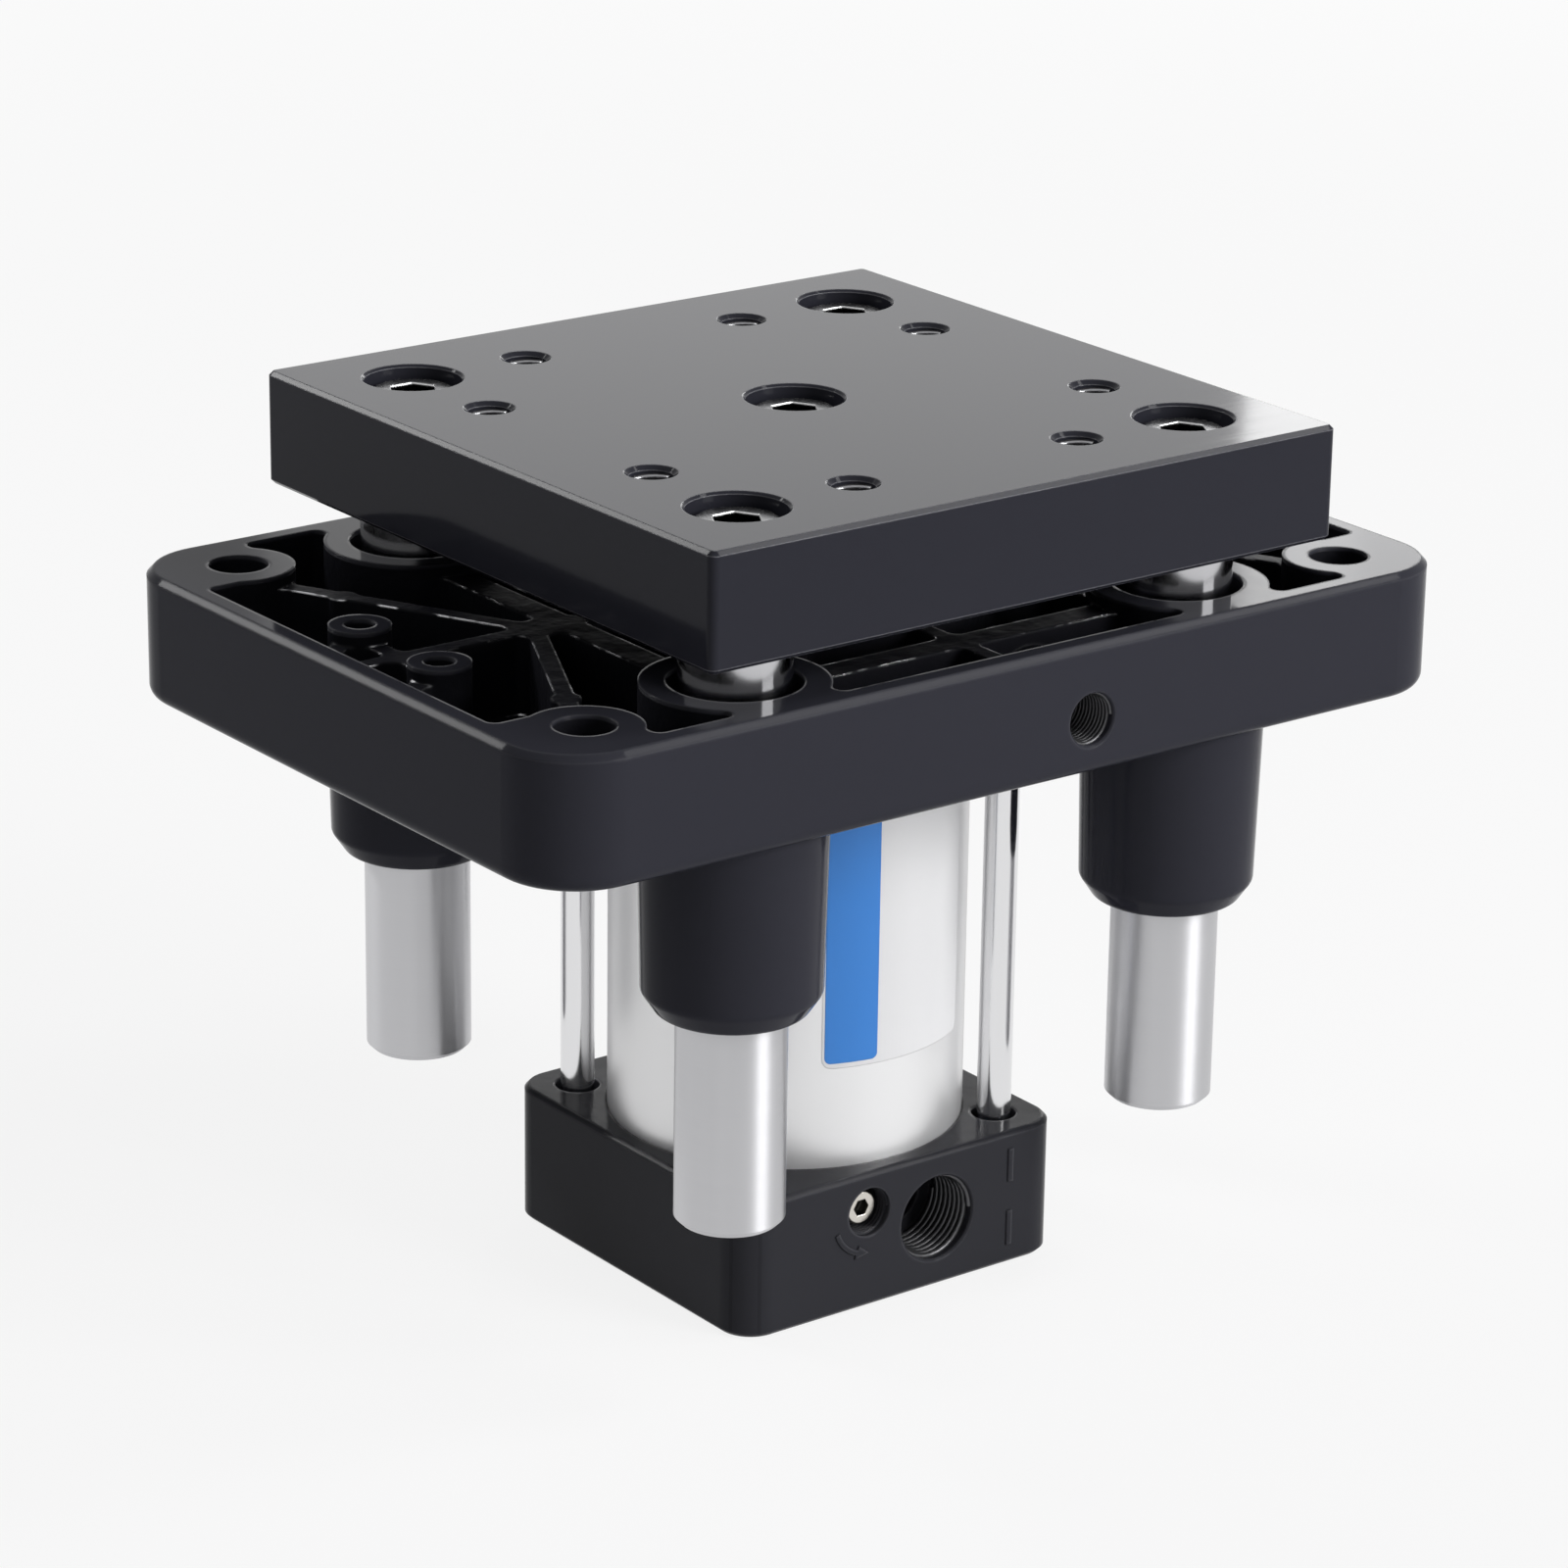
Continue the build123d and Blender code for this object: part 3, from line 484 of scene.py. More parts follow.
# the casting's edges painted lighter: partly wear, partly a painted highlight of the rounded edges
WORN_PAINT_HIGHLIGHT = (0.07, 0.07, 0.08, 1)
# bare metal of the patches along the ribs: partly wear, partly painted glints
BARE_METAL_GLINT = (0.62, 0.62, 0.64, 1)
# shade painted into the colour of the pockets
POCKET_SHADE = (0.35, 0.35, 0.35, 1)
print("gloss of machined faces", MACHINED_ROUGH, "and of skin", SKIN_ROUGH)


# %% Gloss of the paint
def paint_gloss(tree, place, corners, mask, roughness):
    """Fine grain on machined faces, and dull skin with glossier edges where the mask is."""
    smooth = add(tree, "ShaderNodeGroup", node_tree=grain)
    smooth.inputs["Stretch"].default_value = EVEN
    smooth.inputs["Scale"].default_value = 300
    smooth.inputs["Low"].default_value, smooth.inputs["High"].default_value = MACHINED_ROUGH
    matt_skin = add(tree, "ShaderNodeMapRange", {"To Min": SKIN_ROUGH, "To Max": SKIN_EDGE_ROUGH})
    gloss = add(tree, "ShaderNodeMix", data_type="FLOAT")
    wire(tree, place.outputs["Object"], smooth.inputs["Vector"])
    wire(tree, corners.outputs["Edge"], matt_skin.inputs["Value"])
    wire(tree, mask, gloss.inputs["Factor"])
    wire(tree, smooth.outputs["Roughness"], gloss.inputs["A"])
    wire(tree, matt_skin.outputs["Result"], gloss.inputs["B"])
    wire(tree, gloss.outputs["Result"], roughness)


# %% Colour of the paint
def rubbed_glint_patches(tree, place, corners, mask):
    """1 in patches along the sharpest edges of the skin: bare metal showing through the paint,
    which stands in for painted glints.
    """
    patches = add(tree, "ShaderNodeTexNoise", {"Scale": 130.0, "Detail": 2.0})
    bare = add(tree, "ShaderNodeMapRange", {"From Min": 0.49, "From Max": 0.56})
    sharp = add(tree, "ShaderNodeMapRange", {"From Min": 0.45, "From Max": 0.9})
    on_edges = add(tree, "ShaderNodeMath", operation="MULTIPLY")
    on_skin = add(tree, "ShaderNodeMath", operation="MULTIPLY")
    wire(tree, place.outputs["Object"], patches.inputs["Vector"])
    wire(tree, patches.outputs["Fac"], bare.inputs["Value"])
    wire(tree, corners.outputs["Edge"], sharp.inputs["Value"])
    wire(tree, bare.outputs["Result"], on_edges.inputs[0])
    wire(tree, sharp.outputs["Result"], on_edges.inputs[1])
    wire(tree, on_edges.outputs["Value"], on_skin.inputs[0])
    wire(tree, mask, on_skin.inputs[1])
    return on_skin.outputs["Value"]


def paint_colour(tree, colour, corners, mask, glint, shader):
    """The paint, with edges lighter partly as wear and partly as a painted highlight, painted shade
    in the pockets, and bare metal patches as painted glints.
    """
    # edges lighter: partly wear, partly a painted highlight
    wear_and_highlight = add(tree, "ShaderNodeMix", data_type="RGBA")
    wear_and_highlight.inputs["A"].default_value = (*colour, 1)
    wear_and_highlight.inputs["B"].default_value = WORN_PAINT_HIGHLIGHT
    # painted shade in the pockets
    painted_pocket_shade = add(tree, "ShaderNodeMix", data_type="RGBA", blend_type="MULTIPLY")
    painted_pocket_shade.inputs["B"].default_value = POCKET_SHADE
    # bare metal patches standing in as painted glints
    rubbed_highlight = add(tree, "ShaderNodeMix", data_type="RGBA")
    rubbed_highlight.inputs["B"].default_value = BARE_METAL_GLINT
    wire(tree, corners.outputs["Edge"], wear_and_highlight.inputs["Factor"])
    wire(tree, mask, painted_pocket_shade.inputs["Factor"])
    wire(tree, wear_and_highlight.outputs["Result"], painted_pocket_shade.inputs["A"])
    wire(tree, glint, rubbed_highlight.inputs["Factor"])
    wire(tree, painted_pocket_shade.outputs["Result"], rubbed_highlight.inputs["A"])
    wire(tree, rubbed_highlight.outputs["Result"], shader.inputs["Base Color"])
    wire(tree, glint, shader.inputs["Metallic"])


# %% Relief of the paint
def paint_relief(tree, place, corners, mask, normal):
    """The mould's ripple, where the mask is, on top of the soft edges."""
    skin = add(tree, "ShaderNodeGroup", node_tree=cast_skin)
    ripple = add(tree, "ShaderNodeMath", operation="MULTIPLY")
    relief = add(tree, "ShaderNodeBump", {"Strength": 0.55, "Distance": 0.0008})
    wire(tree, place.outputs["Object"], skin.inputs["Vector"])
    wire(tree, skin.outputs["Height"], ripple.inputs[0])
    wire(tree, mask, ripple.inputs[1])
    wire(tree, ripple.outputs["Value"], relief.inputs["Height"])
    wire(tree, corners.outputs["Normal"], relief.inputs["Normal"])
    wire(tree, relief.outputs["Normal"], normal)


# %% The two castings
def build_casting(name, skin_mask, colour, gloss_level):
    """A casting's black paint. skin_mask makes the mask of its unmachined skin."""
    made = bpy.data.materials.new(name)
    made.use_nodes = True
    tree = made.node_tree
    shader = tree.nodes["Principled BSDF"]
    shader.inputs["Specular IOR Level"].default_value = gloss_level
    place = add(tree, "ShaderNodeTexCoord")
    axes = add(tree, "ShaderNodeSeparateXYZ")
    wire(tree, place.outputs["Object"], axes.inputs["Vector"])
    corners = add(tree, "ShaderNodeGroup", node_tree=soft_edges)
    corners.inputs["Radius"].default_value = CASTING_EDGE
    # the mask of the unmachined skin, which also says where the pocket shade is painted
    mask = skin_mask(tree, axes)
    glint = rubbed_glint_patches(tree, place, corners, mask)
    paint_gloss(tree, place, corners, mask, shader.inputs["Roughness"])
    paint_colour(tree, colour, corners, mask, glint, shader)
    paint_relief(tree, place, corners, mask, shader.inputs["Normal"])
    return made


GUIDE_BLACK = (0.0325, 0.0328, 0.0420)
CAP_BLACK = (0.0325, 0.0328, 0.0385)
finishes["guide_casting"] = build_casting("guide_casting", guide_skin, GUIDE_BLACK, 0.03)
finishes["cap_casting"] = build_casting("cap_casting", cap_skin, CAP_BLACK, 0.04)
print("castings:", finishes["guide_casting"].name, finishes["cap_casting"].name)

# %% [markdown]
# ## Put the finishes on the CAD nodes
#
# The CAD meshes are never changed, but their material slots are free. The record says which
# finish each node has, so a small lookup dresses all of them at once. Four nodes look a little
# different from others of their finish, so they have one of their own.

# %% Dress the nodes
own_finish = {"guide_plate": "guide_casting", "rear_cap": "cap_casting",
              "post_screws": "screw_zinc_shade_and_highlight", "piston_rod_screw": "screw_zinc_shade_and_highlight"}
for part in frame["record"]["subparts"]:
    name = part["node"]
    finish_name = own_finish.get(name, part["material_slot"])
    mesh = nodes[name].data
    mesh.materials.clear()
    mesh.materials.append(finishes[finish_name])

# %% [markdown]
# ## Threads
#
# The two air ports, the mouth of the needle's hole and the eight load holes are tapped. A thread
# is a ridge that climbs round the wall of its hole. It could be a bump texture, but then the edge
# of the hole would stay a perfect line, so it is real geometry: a diamond section swept along a
# spiral, half of it in the wall.
# Geometry Nodes suit it, because one tree with a few named sizes makes every thread.

# %% Geometry Nodes helpers
def new_tree(name, inputs):
    """An empty geometry tree with named inputs, ready to be filled."""
    tree = bpy.data.node_groups.new(name, "GeometryNodeTree")
    tree.interface.new_socket("Places", in_out="INPUT", socket_type="NodeSocketGeometry")
    for socket, kind in inputs:
        tree.interface.new_socket(socket, in_out="INPUT", socket_type=kind)
    tree.interface.new_socket("Mesh", in_out="OUTPUT", socket_type="NodeSocketGeometry")
    return tree, tree.nodes.new("NodeGroupInput"), tree.nodes.new("NodeGroupOutput")


def grow(name, tree, places, values, finish_name, body="housing"):
    """Runs a tree on a few points and keeps the result as a plain mesh that rides on a body."""
    seed = bpy.data.meshes.new(name + "_places")
    seed.from_pydata([tuple(p) for p in places], [], [])
    worker = bpy.data.objects.new(name + "_worker", seed)
    bpy.context.scene.collection.objects.link(worker)
    modifier = worker.modifiers.new("grow", "NODES")
    modifier.node_group = tree
    ids = {s.name: s.identifier for s in tree.interface.items_tree if s.in_out == "INPUT"}
    for socket, value in values.items():
        modifier[ids[socket]] = value
    modifier[ids["Material"]] = finishes[finish_name]
    depsgraph = bpy.context.evaluated_depsgraph_get()
    mesh = bpy.data.meshes.new_from_object(worker.evaluated_get(depsgraph))
    bpy.data.objects.remove(worker)
    mesh.name = name
    piece = bpy.data.objects.new(name, mesh)
    bpy.context.scene.collection.objects.link(piece)
    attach(piece, body)
    mesh.calc_loop_triangles()
    print(name, len(mesh.loop_triangles), "triangles")
    return piece


# %% Thread tree
def build_thread_tree():
    tree, start, end = new_tree("thread", [
        ("Radius", "NodeSocketFloat"), ("Pitch", "NodeSocketFloat"), ("Turns", "NodeSocketFloat"),
        ("Turned To", "NodeSocketRotation"), ("Material", "NodeSocketMaterial"),
    ])
    climb = add(tree, "ShaderNodeMath", operation="MULTIPLY")
    spiral = add(tree, "GeometryNodeCurveSpiral", {"Resolution": 28})
    upright = add(tree, "GeometryNodeSetCurveNormal", mode="Z_UP")
    half = add(tree, "ShaderNodeMath", operation="MULTIPLY")
    half.inputs[1].default_value = 0.5
    section = add(tree, "GeometryNodeCurvePrimitiveCircle", {"Resolution": 4})
    sweep = add(tree, "GeometryNodeCurveToMesh", {"Fill Caps": True})
    put = add(tree, "GeometryNodeInstanceOnPoints")
    real = add(tree, "GeometryNodeRealizeInstances")
    paint = add(tree, "GeometryNodeSetMaterial")
    wire(tree, start.outputs["Pitch"], climb.inputs[0])
    wire(tree, start.outputs["Turns"], climb.inputs[1])
    wire(tree, start.outputs["Turns"], spiral.inputs["Rotations"])
    wire(tree, start.outputs["Radius"], spiral.inputs["Start Radius"])
    wire(tree, start.outputs["Radius"], spiral.inputs["End Radius"])
    wire(tree, climb.outputs["Value"], spiral.inputs["Height"])
    wire(tree, spiral.outputs["Curve"], upright.inputs["Curve"])
    wire(tree, start.outputs["Pitch"], half.inputs[0])
    wire(tree, half.outputs["Value"], section.inputs["Radius"])
    wire(tree, upright.outputs["Curve"], sweep.inputs["Curve"])
    wire(tree, section.outputs["Curve"], sweep.inputs["Profile Curve"])
    wire(tree, start.outputs["Places"], put.inputs["Points"])
    wire(tree, sweep.outputs["Mesh"], put.inputs["Instance"])
    wire(tree, start.outputs["Turned To"], put.inputs["Rotation"])
    wire(tree, put.outputs["Instances"], real.inputs["Geometry"])
    wire(tree, real.outputs["Geometry"], paint.inputs["Geometry"])
    wire(tree, start.outputs["Material"], paint.inputs["Material"])
    wire(tree, paint.outputs["Geometry"], end.inputs["Mesh"])
    return tree


thread_tree = build_thread_tree()
print("built tree:", thread_tree.name)

# %% Threads in the ports and load holes
inward = (-math.pi / 2, 0, 0)
port_threads = (   # name, place, where it starts, radius, pitch, turns, finish
    ("rear_port_thread", rear_port_place, 1.2 * MM, rear_port_radius, 1.337 * MM, 8.0,
     "cut_thread"),
    ("front_port_thread", front_port_place, 1.0 * MM, front_port_radius, 0.907 * MM, 11.0,
     "cut_thread"),
    ("needle_mouth_thread", needle_place, 0.9 * MM, needle_mouth_radius, 0.8 * MM, 6.0,
     "cap_casting"),
)
for name, mouth, start_depth, radius, pitch, turns, finish_name in port_threads:
    grow(name, thread_tree, [mouth + Vector((0, start_depth, 0))],
         {"Radius": radius, "Pitch": pitch, "Turns": turns, "Turned To": inward},
         finish_name)
load_pitch = 1.25 * MM
load_start = lift_low.z + 1.0 * MM
near, far = post_offset / 2, post_offset
load_places = [Vector((sx * x, sy * y, load_start))
               for x, y in ((near, far), (far, near)) for sx in (-1, 1) for sy in (-1, 1)]
grow("load_hole_threads", thread_tree, load_places,
     {"Radius": load_hole_radius, "Pitch": load_pitch, "Turns": 15.0, "Turned To": (0, 0, 0)},
     "load_thread", "carriage")

# %% [markdown]
# ## Knurled screw heads
#
# Socket screws have a fine knurl round the head, so that fingers can start them. It is a ring of
# small ridges, and the five heads are alike. The tree puts ridges on a circle, and then the whole
# circle on each screw, which is exactly what instances are good at.

# %% Knurl tree
def build_knurl_tree():
    tree, start, end = new_tree("knurl", [
        ("Head Radius", "NodeSocketFloat"), ("Ridge Height", "NodeSocketFloat"),
        ("Ridge Width", "NodeSocketFloat"), ("Ridges", "NodeSocketInt"),
        ("Material", "NodeSocketMaterial"),
    ])
    circle = add(tree, "GeometryNodeMeshCircle")
    ridge = add(tree, "GeometryNodeMeshCylinder", {"Vertices": 4})
    put = add(tree, "GeometryNodeInstanceOnPoints")
    ring = add(tree, "GeometryNodeInstanceOnPoints")
    real = add(tree, "GeometryNodeRealizeInstances")
    paint = add(tree, "GeometryNodeSetMaterial")
    wire(tree, start.outputs["Head Radius"], circle.inputs["Radius"])
    wire(tree, start.outputs["Ridges"], circle.inputs["Vertices"])
    wire(tree, start.outputs["Ridge Width"], ridge.inputs["Radius"])
    wire(tree, start.outputs["Ridge Height"], ridge.inputs["Depth"])
    wire(tree, circle.outputs["Mesh"], put.inputs["Points"])
    wire(tree, ridge.outputs["Mesh"], put.inputs["Instance"])
    wire(tree, start.outputs["Places"], ring.inputs["Points"])
    wire(tree, put.outputs["Instances"], ring.inputs["Instance"])
    wire(tree, ring.outputs["Instances"], real.inputs["Geometry"])
    wire(tree, real.outputs["Geometry"], paint.inputs["Geometry"])
    wire(tree, start.outputs["Material"], paint.inputs["Material"])
    wire(tree, paint.outputs["Geometry"], end.inputs["Mesh"])
    return tree


knurl_tree = build_knurl_tree()
knurl_depth = 5.2 * MM   # from a head's top to the middle of its knurl
knurl_middle = screws_high.z - knurl_depth
screw_places = [Vector((0, 0, knurl_middle))]
screw_places += [Vector((sx * post_offset, sy * post_offset, knurl_middle))
                 for sx in (-1, 1) for sy in (-1, 1)]
grow("screw_head_knurls", knurl_tree, screw_places,
     {"Head Radius": 7.85 * MM, "Ridge Height": 7.6 * MM, "Ridge Width": 0.42 * MM, "Ridges": 56},
     "screw_zinc_shade_and_highlight", "carriage")

# %% [markdown]
# ## The label
#
# A printed film is wrapped round part of the tube: a pale field with one blue stripe. Its words
# are left off. A picture on the tube would need an image file, so the label is a thin bent sheet
# of its own, and the stripe another one on it. A sheet is drawn flat as angle and height, with
# round corners, and then bent: each point's angle becomes a place on the tube.

# %% Thin sheets on the tube
def flat_outline(low, high, corner, steps=8):
    """Corner points of a rectangle with round corners, in millimetres along and up."""
    points = []
    centres = ((high[0] - corner, low[1] + corner, -90), (high[0] - corner, high[1] - corner, 0),
               (low[0] + corner, high[1] - corner, 90), (low[0] + corner, low[1] + corner, 180))
    for cx, cy, first in centres:
        for n in range(steps + 1):
            angle = math.radians(first + 90 * n / steps)
            points.append((cx + corner * math.cos(angle), cy + corner * math.sin(angle)))
    return points


def wrapped_sheet(name, start_angle, end_angle, low, high, corner, level, film, finish_name):
    """A thin film on the tube, level above its surface, as a closed mesh."""
    radius = tube_radius / MM
    width = math.radians(end_angle - start_angle) * radius
    columns = 40
    outline = flat_outline((0, low), (width, high), corner)
    even_steps = {round(width * n / columns, 4) for n in range(columns + 1)}
    xs = sorted(even_steps | {round(p[0], 4) for p in outline})
    bottom, top = [], []
    for x in xs:
        into_corner = max(corner - min(x, width - x), 0)
        lift = corner - math.sqrt(max(corner ** 2 - into_corner ** 2, 0))
        bottom.append(low + lift)
        top.append(high - lift)
    points, faces = [], []
    for out in (level, level + film):
        for x, b, t in zip(xs, bottom, top):
            angle = math.radians(start_angle) + x / radius
            for z in (b, t):
                r = radius + out
                points.append(Vector((r * math.cos(angle), r * math.sin(angle), z)) * MM)
    o = 2 * len(xs)   # where the outer layer's points start
    last = o - 2
    for a in range(0, last, 2):
        faces += [(o + a, o + a + 2, o + a + 3, o + a + 1), (a, a + 1, a + 3, a + 2)]
        faces += [(a, a + 2, o + a + 2, o + a), (a + 1, o + a + 1, o + a + 3, a + 3)]
    faces += [(0, o, o + 1, 1), (last, last + 1, o + last + 1, o + last)]
    mesh = bpy.data.meshes.new(name)
    mesh.from_pydata(points, [], faces)
    mesh.validate()
    mesh.update()
    mesh.materials.append(finishes[finish_name])
    piece = bpy.data.objects.new(name, mesh)
    bpy.context.scene.collection.objects.link(piece)
    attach(piece, "housing")
    print(name, "covers", round(end_angle - start_angle, 1), "degrees of the tube")
    return piece


# %% Label
finishes["label_film"] = finish("label_film", (0.80, 0.80, 0.81), 0, (0.30, 0.38), EVEN, 600, 0.01)
finishes["blue_print"] = finish("blue_print", (0.038, 0.230, 0.68), 0, (0.28, 0.36),
                                EVEN, 600, 0.01)
label_low = 46.6   # mm, like the top
label_top = guide_low.z / MM + 34
wrapped_sheet("label_field", -115.9, -58, label_low, label_top,
              corner=2.0, level=0.01, film=0.05, finish_name="label_film")
wrapped_sheet("label_stripe", -115.0, -97.3, label_low + 1, label_top - 1,
              corner=1.2, level=0.06, film=0.03, finish_name="blue_print")

# %% [markdown]
# ## Cast marks on the rear cap
#
# Beside the ports the mould left two short bars, and round the cushion needle a curved arrow that
# says which way to turn it. They stand less than half a millimetre proud. Engraving them would
# change the CAD solid, so each is a low strip with sloping sides, as a casting needs to leave its
# mould. A strip is a list of point pairs, its left and right edge, which suits arrow and bar alike.

# %% Raised strips
SUNK_FOOT = 0.2   # mm that a strip's foot reaches into the face, so that no gap shows
TOUCHING = 1e-6    # mm
SAME_POINT = 1e-7  # metres


def raised_strip(name, strips, face, rise, draft):
    """Low strips on a face that looks to -Y. A strip is a list of pairs of (x, z) points, in mm."""
    points, faces = [], []
    for pairs in strips:
        first = len(points)
        for left, right in pairs:
            left, right = Vector(left), Vector(right)
            width = left - right
            across = width.normalized() * draft if width.length > TOUCHING else Vector((0, 0))
            for (x, z), out in ((left + across, -SUNK_FOOT), (left, rise),
                                (right, rise), (right - across, -SUNK_FOOT)):
                points.append(Vector((x, face / MM - out, z)) * MM)
        for n in range(len(pairs) - 1):
            a = first + 4 * n
            for m in range(4):
                k = (m + 1) % 4
                faces.append((a + m, a + 4 + m, a + 4 + k, a + k))
        last = first + 4 * (len(pairs) - 1)
        faces += [(first, first + 1, first + 2, first + 3), (last + 3, last + 2, last + 1, last)]
    mesh = bpy.data.meshes.new(name)
    mesh.from_pydata(points, [], faces)
    sheet = bmesh.new()
    sheet.from_mesh(mesh)
    bmesh.ops.remove_doubles(sheet, verts=sheet.verts, dist=SAME_POINT)
    bmesh.ops.dissolve_degenerate(sheet, edges=sheet.edges, dist=SAME_POINT)
    bmesh.ops.recalc_face_normals(sheet, faces=sheet.faces)
    sheet.to_mesh(mesh)
    sheet.free()
    mesh.materials.append(finishes["cap_casting"])
    piece = bpy.data.objects.new(name, mesh)
    bpy.context.scene.collection.objects.link(piece)
    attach(piece, "housing")
    print(name, len(strips), "strips")
    return piece


# %% Arrow and bars
def arrow_strip(centre, radius, width, start, end, head):
    """A curved arrow as edge pairs, from a start angle to an end angle in degrees."""
    def at(r, angle):
        turn = math.radians(angle)
        return (centre[0] + r * math.cos(turn), centre[1] + r * math.sin(turn))

    pairs = []
    steps = 14
    neck = end - head
    half, head_half = width / 2, 1.4 * width
    for n in range(steps + 1):
        angle = start + (neck - start) * n / steps
        pairs.append((at(radius - half, angle), at(radius + half, angle)))
    pairs.append((at(radius - head_half, neck), at(radius + head_half, neck)))
    pairs.append((at(radius, end), at(radius, end)))
    return pairs


def bar_strip(x, low, high, width):
    """An upright bar as two edge pairs."""
    left, right = x - width / 2, x + width / 2
    return [((left, low), (right, low)), ((left, high), (right, high))]


mark_rise, mark_draft = 0.35, 0.25
needle_mm = (needle_place.x / MM, needle_place.z / MM)
arrow = arrow_strip(needle_mm, radius=8.0, width=0.9, start=200, end=268, head=20)
bars = [bar_strip(x=25.0, low=4.0, high=11.0, width=1.1),
        bar_strip(x=25.0, low=17.0, high=23.6, width=1.1)]
raised_strip("needle_arrow", [arrow], cap_low.y, mark_rise, mark_draft)
raised_strip("cap_bars", bars, cap_low.y, mark_rise, mark_draft)

# %% [markdown]
# ## The stage
#
# The floor is pale and matt, and the object throws its shadow on it. The background should look
# white without more light on the object, so the floor and the world look brighter only to the
# camera, to mirrors and through glass. The Light Path node knows which ray is asking. Far away the
# floor turns fully white, which hides the horizon, and near the object it keeps the shadow. Seen
# from below the floor is clear, so that the underside can be looked at too.

# %% Which ray is asking
def seen_directly(tree):
    """1 for the camera, for mirrors and through glass, 0 for light that spreads."""
    path = add(tree, "ShaderNodeLightPath")
    first = add(tree, "ShaderNodeMath", operation="MAXIMUM")
    second = add(tree, "ShaderNodeMath", operation="MAXIMUM")
    wire(tree, path.outputs["Is Camera Ray"], first.inputs[0])
    wire(tree, path.outputs["Is Glossy Ray"], first.inputs[1])
    wire(tree, first.outputs["Value"], second.inputs[0])
    wire(tree, path.outputs["Is Transmission Ray"], second.inputs[1])
    return second.outputs["Value"]


# %% Floor
reach = 8.0
sunk = -0.1 * MM
corners = [(x * reach, y * reach, sunk) for x, y in ((-1, -1), (1, -1), (1, 1), (-1, 1))]
floor_mesh = bpy.data.meshes.new("studio_floor")
floor_mesh.from_pydata(corners, [], [(0, 1, 2, 3)])
floor = bpy.data.objects.new("studio_floor", floor_mesh)
bpy.context.scene.collection.objects.link(floor)
paper = bpy.data.materials.new("studio_paper")
paper.use_nodes = True
tree = paper.node_tree
matt = tree.nodes["Principled BSDF"]
matt.inputs["Base Color"].default_value = (0.74, 0.74, 0.75, 1)
matt.inputs["Roughness"].default_value = 0.9
matt.inputs["Specular IOR Level"].default_value = 0.0
glow = add(tree, "ShaderNodeEmission", {"Color": (1, 1, 1, 1), "Strength": 1.0})
place = add(tree, "ShaderNodeTexCoord")
distance = add(tree, "ShaderNodeVectorMath", operation="LENGTH")
whiter = add(tree, "ShaderNodeMapRange",
             {"From Min": 0.3, "From Max": 2.4, "To Min": 0.85, "To Max": 1.0},
             interpolation_type="SMOOTHERSTEP")
share = add(tree, "ShaderNodeMath", operation="MULTIPLY")
blend_in = add(tree, "ShaderNodeMixShader")
wire(tree, place.outputs["Object"], distance.inputs[0])
wire(tree, distance.outputs["Value"], whiter.inputs["Value"])
wire(tree, seen_directly(tree), share.inputs[0])
wire(tree, whiter.outputs["Result"], share.inputs[1])
wire(tree, share.outputs["Value"], blend_in.inputs["Fac"])
wire(tree, matt.outputs["BSDF"], blend_in.inputs[1])
wire(tree, glow.outputs["Emission"], blend_in.inputs[2])
under = add(tree, "ShaderNodeNewGeometry")
clear = add(tree, "ShaderNodeBsdfTransparent")
one_way = add(tree, "ShaderNodeMixShader")
wire(tree, under.outputs["Backfacing"], one_way.inputs["Fac"])
wire(tree, blend_in.outputs["Shader"], one_way.inputs[1])
wire(tree, clear.outputs["BSDF"], one_way.inputs[2])
wire(tree, one_way.outputs["Shader"], tree.nodes["Material Output"].inputs["Surface"])
floor_mesh.materials.append(paper)
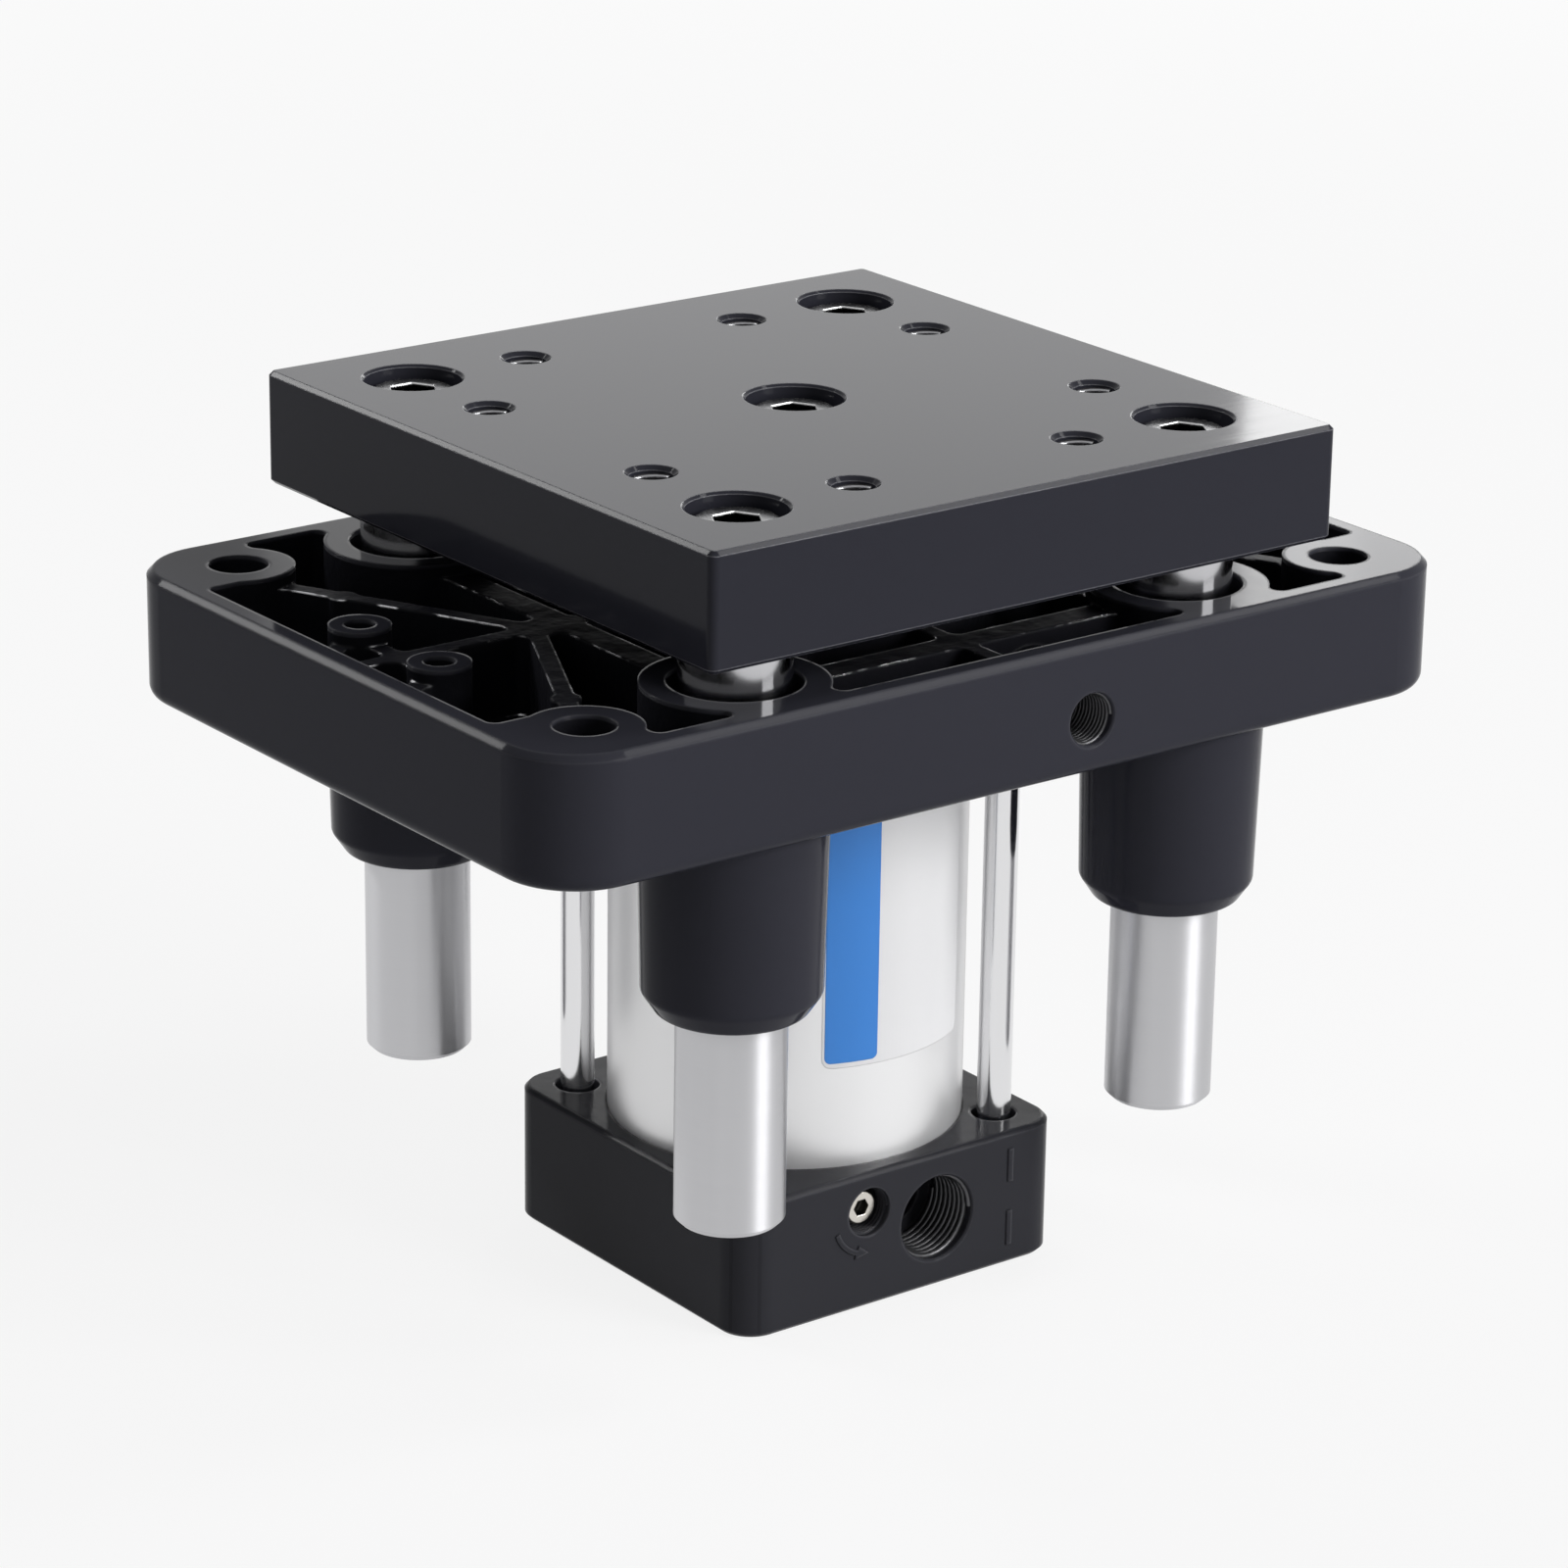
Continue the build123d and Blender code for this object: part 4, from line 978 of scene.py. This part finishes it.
print("floor reaches", reach, "m")

# %% World
world_light = 0.20
sky = bpy.data.worlds.new("studio_air")
bpy.context.scene.world = sky
sky.use_nodes = True
tree = sky.node_tree
air = tree.nodes["Background"]
air.inputs["Color"].default_value = (1, 1, 1, 1)
level = add(tree, "ShaderNodeMapRange", {"To Min": world_light, "To Max": 1.0})
wire(tree, seen_directly(tree), level.inputs["Value"])
wire(tree, level.outputs["Result"], air.inputs["Strength"])
print("world lights at", world_light, "and looks white")

# %% [markdown]
# ## Studio light
#
# Glossy black shows only what it mirrors, so the lamps are placed like things to be seen: a wide
# softbox behind, low, that the flat tops mirror as an even grey, a brighter one on the right for
# the far corner, and two small high ones that the chamfers mirror as thin bright lines. The key
# light stands to the front and right and draws the bright line down each post, and a weak one on
# the left keeps that side from going flat.

# %% Lamps
def softbox(name, place, target, size, watts):
    """A soft rectangular lamp that looks at a point."""
    lamp = bpy.data.lights.new(name, "AREA")
    lamp.shape = "RECTANGLE"
    lamp.size, lamp.size_y = size
    lamp.energy = watts
    holder = bpy.data.objects.new(name, lamp)
    bpy.context.scene.collection.objects.link(holder)
    aim = (Vector(target) - Vector(place)).to_track_quat("-Z", "Y")
    holder.matrix_world = Matrix.Translation(Vector(place)) @ aim.to_matrix().to_4x4()
    print(name, watts, "W")
    return holder


middle = (0, 0, 0.14)
softbox("rear_softbox", (1.04, 1.35, 0.66), middle, (0.56, 0.5), 0.86)
softbox("right_softbox", (1.44, 1.10, 0.66), middle, (0.5, 0.45), 3.9)
softbox("front_key", (0.80, -1.45, 0.75), middle, (0.75, 0.95), 25.0)
softbox("left_fill", (-1.4, -1.0, 1.2), middle, (0.5, 0.7), 0.6)
softbox("front_edge_light", (0.85, -0.49, 1.17), middle, (0.34, 0.34), 4.5)
softbox("left_edge_light", (-0.50, 1.12, 0.87), middle, (0.30, 0.30), 5.0)

# %% [markdown]
# ## Last lines
#
# The view transform stays plain, so that colours come out as they are written.

# %% Finish
bpy.context.scene.view_settings.view_transform = "Standard"
